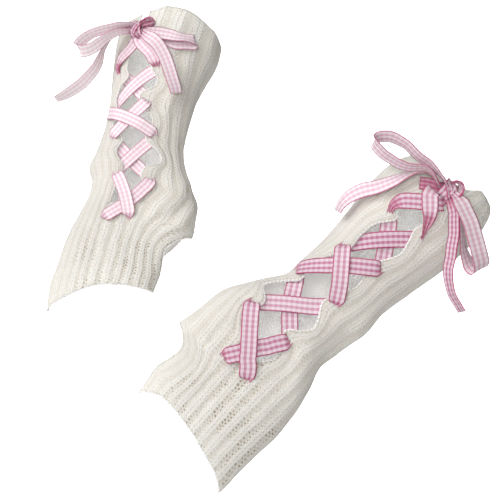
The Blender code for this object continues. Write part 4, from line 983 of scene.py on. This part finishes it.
def evenly(points):
    distance = runAlong(points)
    at = np.linspace(0, distance[-1], int(distance[-1] / (ribbon["step"] * mm)) + 2)
    return distance, at, np.stack([rounded(distance, values, at) for values in points.T], axis=1)


def noLift(at):
    return 0 * at


def stretch(arm, route, inside, hump, ends=(True, True), pinch=None):
    along, across = np.array(route).T * mm
    size = quarterLength(arm, along).mean()
    _, at, path = evenly(np.stack([along, shareAt(arm, along, across) * size], axis=1))
    base = -ribbon["inside"] * mm if inside else wallThick + ribbon["outside"] * mm
    out = base + hump(at) * ribbon["rise"] * mm * (-1 if inside else 1)
    narrow = np.ones(len(at))
    least, long = pinch or (ribbon["pinch"], ribbon["pinchLength"])
    for passed, fromEnd in zip(ends, (at, at[-1] - at)):
        if passed:
            dip = ease(fromEnd, 0, ribbon["dive"] * mm)
            out = ribbon["through"] * wallThick * (1 - dip) + out * dip
            for width, reach in ((least, long), (ribbon["throat"], ribbon["throatLength"])):
                narrow *= width + (1 - width) * ease(fromEnd, 0, reach * mm)
    points, facing = wallPoint(arm, path[:, 0], path[:, 1] / size, out)
    return points, facing, narrow


def edgeOn(points, facing, narrow):
    across = unit(np.cross(facing, unit(np.gradient(points, axis=0))))
    return points, across, facing, narrow


def halfLace(arm, start):
    holes = {"thumb": arm["thumbHoles"], "finger": arm["fingerHoles"]}
    other = {"thumb": "finger", "finger": "thumb"}
    inFront, here = start == arm["topLaceStarts"], start
    middle = tuple((a + b) / 2 for a, b in zip(holes["thumb"][0], holes["finger"][0]))
    pieces = [stretch(arm, (middle, holes[start][0]), True, noLift, (False, True))]
    for step in range(len(holes["thumb"]) - 1):
        inside, there = step % 2 == 1, other[here]
        route = (holes[here][step], holes[there][step + 1])
        crossed = crossingPlace(arm, route, (holes[there][step], holes[here][step + 1]))

        def hump(at, crossed=crossed, up=inFront != inside):
            return up * (1 - ease(np.abs(at - crossed), ribbon["humpFlat"] * mm, ribbon["humpEnds"] * mm))

        pieces.append(stretch(arm, route, inside, hump))
        here = there

    def climb(at):
        return ease(at, *(value * mm for value in ribbon["climb"]))

    route = (holes[here][-1], *arm[here + "Route"])
    lifted = climb if here == arm["topLaceStarts"] else noLift
    pieces.append(stretch(arm, route, False, lifted, (True, False), arm["topPinch"][here]))
    # painted shade: each stretch's tone deepens at its ends, where it narrows into a hole
    rows = [(points, facing, narrow, tone + ribbon["endShade"] * ease(1 - narrow, *ribbon["endNarrows"]))
            for (points, facing, narrow), tone in zip(pieces, arm["tones"][start])]
    points, facing, narrow, tone = (
        np.concatenate([row[k][min(i, 1):] for i, row in enumerate(rows)]) for k in range(4))
    return edgeOn(points, facing, narrow), tone


def knotPlace(arm):
    along, across = (np.array([value * mm]) for value in arm["knot"])
    points, normals = wallPoint(arm, along, shareAt(arm, along, across), wallThick + knot["deep"] * mm)
    return points[0], normals[0]


def strandPath(arm, key):
    table = np.array(arm["strands"][key], float)
    loop = not key.startswith("tail")
    start = ribbon["loopStart" if loop else "tailStart"]
    table = np.vstack([np.append(table[0, :3] * start, table[0, 3:]), table])
    if loop:
        table = np.vstack([table, np.append(table[-1, :3] * start, table[-1, 3:])])
    distance, at, points = evenly(np.stack([table[:, 0], -table[:, 2], table[:, 1]], axis=1) * mm)
    tangent = unit(np.gradient(points, axis=0))
    face, tilt = (np.radians(smooth(distance, table[:, i], at)) for i in (3, 4))
    across = np.stack([np.cos(tilt) * np.cos(face), -np.sin(tilt), np.cos(tilt) * np.sin(face)], axis=1)
    squared = 0.5 if loop else 1.0  # how far the width is turned square to the path
    across = unit(across - squared * (across * tangent).sum(axis=1, keepdims=True) * tangent)
    narrow = np.ones(len(at))
    for fromKnot in (at, at[-1] - at) if loop else (at,):
        spread = ease(fromKnot, *(value * mm for value in ribbon["spread"]))
        narrow *= ribbon["knotWidth"] + (1 - ribbon["knotWidth"]) * spread
    return points + knotPlace(arm)[0], across, np.cross(tangent, across), narrow


def knotPath(arm, angle, shift, size):
    centre, out = knotPlace(arm)
    turn = np.radians(angle)
    lead = np.array([np.cos(turn), 0, np.sin(turn)])
    lead = unit(lead - (lead @ out) * out)
    theta = np.radians(np.linspace(*knot["turn"], knot["points"]))[:, None]
    ring = (np.sin(theta) * lead * knot["long"] + np.cos(theta) * out * knot["deep"]) * mm * size
    points = centre + ring + np.array(shift) * mm
    tangent = unit(np.gradient(points, axis=0))
    across = np.tile(np.cross(out, lead), (len(points), 1))
    return points, across, np.cross(tangent, across), np.full(len(points), knot["wide"]) * size


def sweep(name, path, tone, scale=1.0):
    points, across, facing, narrow = path
    run = runAlong(points)
    # painted shade: the tone deepens where the ribbon narrows, up to the deepest
    tone = np.minimum(tone + ribbon["narrowShade"] * (1 - narrow), ribbon["deepest"])
    mesh = addAttributes(lineMesh(name, [points]),
                         {"halfWidth": ribbon["width"] * mm / 2 * narrow * scale, "tone": tone, "run": run},
                         {"across": across, "facing": facing})
    values = {"Columns": ribbon["columns"], "Width": ribbon["width"] * mm,
              "Thickness": ribbon["thick"] * mm, "Curl": ribbon["curl"],
              "Pleat Depth": ribbon["pleat"] * mm, "Cloth": ribbonCloth}
    return runTree(name, mesh, sweepTree, values), run[-1]


knitShape = {
    "rowsPerStep": 5, "columnsPerRib": 10,
    "startAlong": 60, "rounds": 5,  # where the search for a row's place starts, how often it is done
    "furrow": 1.55, "rim": 0.5,  # where a furrow's outer face lies, how far an edge rolls
    "ribRise": 0.68, "ribEdge": 0.34, "groove": 0.2, "uneven": 0.7,
    "outerRelief": 1.0, "innerRelief": 0.5, "rimRelief": 0.6, "endRelief": 0.75,
    "flat": (0.200, 0.282),  # round and long, as cut, in metres
}


def buildWall(arm):
    fine, perRib = knitShape["rowsPerStep"], knitShape["columnsPerRib"]
    points, outward, relief, ribPlaces = [], [], [], []
    quads, charts, rims = [], [], {}

    def addPoints(where, normals, lift, place):
        first = sum(len(block) for block in points)
        points.append(where.reshape(-1, 3))
        outward.append(normals.reshape(-1, 3))
        relief.append((lift + 0 * place).ravel())
        ribPlaces.append(place.ravel())
        return (first + np.arange(place.size)).reshape(place.shape)

    def addQuads(corners, us, vs):
        quads.append(np.stack([c.ravel() for c in corners], axis=1))
        charts.append(np.stack([np.stack([u.ravel(), v.ravel()], axis=1) for u, v in zip(us, vs)], axis=1))

    # both faces of the wall over some ribs; a shared column takes the points of the strip beside it
    def strip(ribs, shareOf, lastRow, ribStart, ribSign, shared=()):
        rows = np.arange(lastRow * fine + 1)[:, None] / fine
        cols = np.arange(ribs * perRib + 1)[None, :] / (ribs * perRib)
        along = knitShape["startAlong"] * mm + 0 * (rows + cols)
        for _ in range(knitShape["rounds"]):  # a row's place and its share of the wall settle together
            along = placeRow(arm, rows, shareOf(arm, along, cols))
        base, normal = wallFrame(arm, along, shareOf(arm, along, cols))
        place = ribStart + ribSign * cols * ribs + 0 * rows
        course = rowLevel(arm, rows) / mm + 0 * cols
        least = knitShape["endRelief"]
        soft = least + (1 - least) * ease(np.minimum(rows, lastRow - rows + 2), 0, 1) + 0 * cols
        made = {"along": along, "normal": normal, "place": place, "course": course, "layers": []}
        faces = ((knitShape["furrow"] * mm, knitShape["outerRelief"]), (0.0, knitShape["innerRelief"]))
        for layer, (out, lift) in enumerate(faces):
            where = base + normal * out
            index = addPoints(where, normal, lift * soft, place)
            for col, donor, donorCol, mask in shared:
                count = min(len(index), len(donor["layers"][0][0]))
                take = np.arange(count)[mask[:count]]
                index[take, col] = donor["layers"][layer][0][take, donorCol]
            made["layers"].append((index, where))
        for layer, (index, _) in enumerate(made["layers"]):
            blocks = [(grid[:-1, :-1], grid[:-1, 1:], grid[1:, 1:], grid[1:, :-1])
                      for grid in (index, place, course)]
            addQuads(*(block[::-1] if layer else block for block in blocks))
        return made

    # the rolled edge that joins the two faces, and the line that its stitches follow
    def rim(made, cells, inner):
        (outerIndex, outer), (innerIndex, under) = made["layers"]
        top, base = outerIndex[cells], innerIndex[cells]
        place, course, normal = (made[key][cells] for key in ("place", "course", "normal"))
        rolled = unit(outer[cells] - outer[inner]) * knitShape["rim"] * mm
        middle = (outer[cells] + under[cells]) / 2 + rolled
        fresh = addPoints(middle, normal, knitShape["rimRelief"], place)
        index = np.array([rims.setdefault(int(t), int(f)) for t, f in zip(top, fresh)])
        for ends in ((top, index), (index, base)):
            pairs = (ends, (place, place), (course, course))
            addQuads(*((a[:-1], a[1:], b[1:], b[:-1]) for a, b in pairs))
        return middle, normal

    def side(edge):
        return lambda arm, along, rib: sideShare(arm, along, rib, edge)

    bottom, last = arm["bottomRow"], arm["rows"][-1][0]
    slitRibs, sideRibs, palmRibs = (cloth[key] for key in ("slitRibs", "sideRibs", "palmRibs"))
    palmStart, ribsRound = slitRibs + sideRibs, slitRibs + 2 * sideRibs + palmRibs
    everyRow = np.ones(last * fine + 1, bool)
    low = np.arange(last * fine + 1) <= bottom * fine
    middle = strip(slitRibs, middleShare, bottom, 0, 1)
    finger = strip(sideRibs, side("fingerEdge"), last, 0, -1, ((0, middle, 0, low),))
    thumb = strip(sideRibs, side("thumbEdge"), last, slitRibs, 1, ((0, middle, -1, low),))
    seamAlong = thumb["along"][:, -1]
    opened = lipAt(arm, seamAlong, False) + lipAt(arm, seamAlong, True) > cloth["lipStarts"] * mm
    palm = strip(palmRibs, palmShare, last, palmStart, 1,
                 ((0, thumb, -1, ~opened), (-1, finger, -1, everyRow)))

    def cut(line, flipped=False, whole=False):
        ordered = [part[::-1] if flipped else part for part in line]
        return ordered if whole else [part[1:] for part in ordered]

    def joined(parts):
        return tuple(np.concatenate([part[i] for part in parts]) for i in (0, 1))

    rows = slice(None)
    hem = [rim(part, (0, rows), (1, rows)) for part in (finger, middle, thumb, palm)]
    cuff = [rim(part, (-1, rows), (-2, rows)) for part in (finger, palm, thumb)]
    slitRows = slice(bottom * fine, None)
    slit = [rim(part, (slitRows, 0), (slitRows, 1)) for part in (finger, thumb)]
    foot = rim(middle, (-1, rows), (-2, rows))
    openRows = np.flatnonzero(opened)
    lipRows = slice(openRows[0] - 1, openRows[-1] + 2)
    lips = [rim(thumb, (lipRows, -1), (lipRows, -2)), rim(palm, (lipRows, 0), (lipRows, 1))]
    lines = [joined([cut(hem[0], True, True), cut(hem[1]), cut(hem[2]), cut(hem[3])]),
             joined([cuff[0], cut(cuff[1], True), cut(cuff[2], True)]), *slit, foot, *lips]
    faces, chart, place = np.concatenate(quads), np.concatenate(charts), np.concatenate(ribPlaces)
    around = np.where(place < palmStart - 0.1, -place, ribsRound - place)  # counted the other way round
    fromSlit = place if arm["side"] > 0 else around
    plain = ease(fromSlit, *arm["plainFrom"]) * (1 - ease(fromSlit, *cloth["plainEnds"]))
    crisp = 1 - cloth["plainLoss"] * plain
    fromHem = np.zeros(len(place))
    fromHem[faces.ravel()] = chart[:, :, 1].ravel()
    fades = ease(fromHem, arm["openworkEnd"], arm["openworkEnd"] + cloth["openworkFades"])
    openwork = crisp * (1 - cloth["openworkLoss"] * fades)
    used, compact = np.unique(faces, return_inverse=True)
    where = toWorld(arm, np.concatenate(points)[used])
    mesh = bpy.data.meshes.new(arm["name"] + "Knit")
    mesh.from_pydata(where.tolist(), [], compact.reshape(faces.shape).tolist())
    mesh.uv_layers.new(name="chart").data.foreach_set("uv", chart.reshape(-1).astype(np.float32))
    floats = {"relief": np.concatenate(relief), "ribPlace": place, "crisp": crisp, "openwork": openwork}
    addAttributes(mesh, {label: values[used] for label, values in floats.items()},
                  {"outward": turned(arm, np.concatenate(outward)[used])})
    return mesh, [(toWorld(arm, line), turned(arm, normals)) for line, normals in lines]


def tieKnot(arm):
    name = arm["name"]
    wraps = [sweep(f"{name}KnotWrap{i}", knotPath(arm, *wrap), knot["tone"])[0]
             for i, wrap in enumerate(arm["knotWraps"])]
    for i, (route, tone) in enumerate(arm["underFolds"]):
        fold = stretch(arm, route, False, lambda at: noLift(at) - knot["foldSink"], (False, False))
        wraps.append(sweep(f"{name}Fold{i}", edgeOn(*fold[:2], fold[2] * knot["foldWide"]), tone)[0])
    wraps.append(sweep(f"{name}Ear", strandPath(arm, "ear"), knot["earShade"], knot["earWide"])[0])
    return addPiece(f"{name}Knot", finishMesh(*wraps), [f"{name}_bow_knot"])


def laceUp(arm, knotPiece):
    name = arm["name"]
    for start, other in (("finger", "thumb"), ("thumb", "finger")):
        over = start == arm["topLaceStarts"]
        label = f"{name}Lace{'Over' if over else 'Under'}"
        path, tone = halfLace(arm, start)
        mesh, long = sweep(label, path, tone, arm["laceWide"])
        nodes = [f"{name}_lace_{i + 1}_from_{other if i % 2 else start}" for i in range(5)]
        if over:
            nodes.append(f"{name}_lace_bar")
        piece = addPiece(label, finishMesh(mesh), nodes)
        print(label, round(long, 4))


def addBow(arm):
    name = arm["name"]
    for key, (tone, scale) in arm["strandShadeTones"].items():
        label = f"{name}{key[0].upper()}{key[1:]}"
        path = strandPath(arm, key)
        mesh, long = sweep(label, path, tone, scale)
        cadName = f"{name}_bow_" + "".join("_" + c.lower() if c.isupper() else c for c in key)
        piece = addPiece(label, finishMesh(mesh), [cadName])
        print(label, round(long, 4))


def addKnit(arm):
    name = arm["name"]
    wall, lines = buildWall(arm)
    values = {"Rib Height": knitShape["ribRise"] * mm, "Rib Edge": knitShape["ribEdge"],
              "Wale Groove": knitShape["groove"] * mm, "Unevenness": knitShape["uneven"] * mm,
              "Cloth": knitCloth}
    knitted = runTree(f"{name}Knit", wall, wallTree, values)
    edge = lineMesh(f"{name}CastOff", [line for line, _ in lines])
    addAttributes(edge, {}, {"outward": np.concatenate([normals for _, normals in lines])})
    edge = runTree(f"{name}CastOff", edge, rimTree, {"Cloth": knitCloth})
    edgePiece = addPiece(f"{name}CastOff", finishMesh(edge))
    panels = [f"{name}_back_panel", f"{name}_palm_panel"]
    piece = addPiece(f"{name}Knit", finishMesh(knitted), panels)
    print(name, "knitted,", len(piece.data.polygons), "faces")


fibre, stitches, gingham = fibreGroup(), stitchGroup(), ginghamGroup(ribbonLook["yarn"])
ribbonCloth = ribbonMaterial(ribbonLook, gingham, fibre)
knitCloth = knitMaterial(knitLook, stitches, fibre)
sweepTree, wallTree, rimTree = ribbonTree(), knitTree(), edgeTree()
print("materials and node trees made")

for arm in (leftArm, rightArm):
    laceUp(arm, tieKnot(arm))
    addBow(arm)
    print(arm["name"], "ribbon laced and tied")
    addKnit(arm)

# metres and watts
studio = {
    "floorDrop": 1.3, "frontReach": 4.0, "backReach": 3.2, "curve": 1.6, "curveSteps": 17, "height": 4.5,
    "half": 7.0, "floorColour": (0.9, 0.9, 0.9, 1), "floorLift": 0.45, "world": 0.15,
    "worldColour": (1.0, 0.96, 0.91, 1), "surround": (0.7, 0.7, 0.7, 1),
    # place, width, power, spread, what it points at
    "lights": {
        "key": ((-1.9, -1.6, 1.75), 2.4, 80, 180, (-0.1, 0.08, 0.0)),
        "fill": ((-0.3, -2.2, 0.3), 0.8, 26, 180, (-0.1, 0.08, 0.0)),
        "back": ((0.3, 1.8, -0.4), 1.2, 3, 150, (-0.1, 0.08, 0.0)),
        "backdrop": ((0, 1.4, 3.2), 3.0, 170, 100, (-0.1, 5.0, 0.0)),
    },
}


def addFloor(view):
    bend = [(view["backReach"] + view["curve"] * np.sin(a), view["curve"] * (1 - np.cos(a)))
            for a in np.linspace(0, np.pi / 2, view["curveSteps"])]
    profile = [(-view["frontReach"], 0.0), *bend, (view["backReach"] + view["curve"], view["height"])]
    points = [(x, y, z - view["floorDrop"]) for x in (-view["half"], view["half"]) for y, z in profile]
    count = len(profile)
    mesh = bpy.data.meshes.new("studioFloor")
    mesh.from_pydata(points, [], [(i, i + count, i + count + 1, i + 1) for i in range(count - 1)])
    mesh.shade_smooth()
    paint, tree, shader = startMaterial("paleFloor", 0.9)
    for label in ("Base Color", "Emission Color"):
        shader.inputs[label].default_value = view["floorColour"]
    seen = result(tree, "ShaderNodeLightPath", None, "Is Camera Ray")
    feed(tree, seen * view["floorLift"], shader.inputs["Emission Strength"])
    mesh.materials.append(paint)
    floor = bpy.data.objects.new("studioFloor", mesh)
    bpy.context.scene.collection.objects.link(floor)


def addWorld(view):
    world = bpy.data.worlds.new("studioWorld")
    world.use_nodes = True
    sky = world.node_tree
    glow = sky.nodes["Background"]
    glow.inputs["Color"].default_value = view["worldColour"]
    glow.inputs["Strength"].default_value = view["world"]
    pastFloor = result(sky, "ShaderNodeBackground", {"Color": view["surround"]})
    seen = result(sky, "ShaderNodeLightPath", None, "Is Camera Ray")
    both = result(sky, "ShaderNodeMixShader", {0: seen, 1: nodeValue(sky, glow.outputs[0]), 2: pastFloor})
    feed(sky, both, sky.nodes["World Output"].inputs["Surface"])
    bpy.context.scene.world = world


def addLights(view):
    for name, (place, size, power, spread, target) in view["lights"].items():
        light = bpy.data.lights.new(name, "AREA")
        light.size, light.energy, light.spread = size, power, np.radians(spread)
        lamp = bpy.data.objects.new(name, light)
        lamp.location = place
        lamp.visible_camera = False
        lamp.rotation_euler = (Vector(target) - Vector(place)).to_track_quat("-Z", "Y").to_euler()
        bpy.context.scene.collection.objects.link(lamp)


addFloor(studio)
addWorld(studio)
addLights(studio)
bpy.context.scene.view_settings.view_transform = "Standard"
print("studio ready")
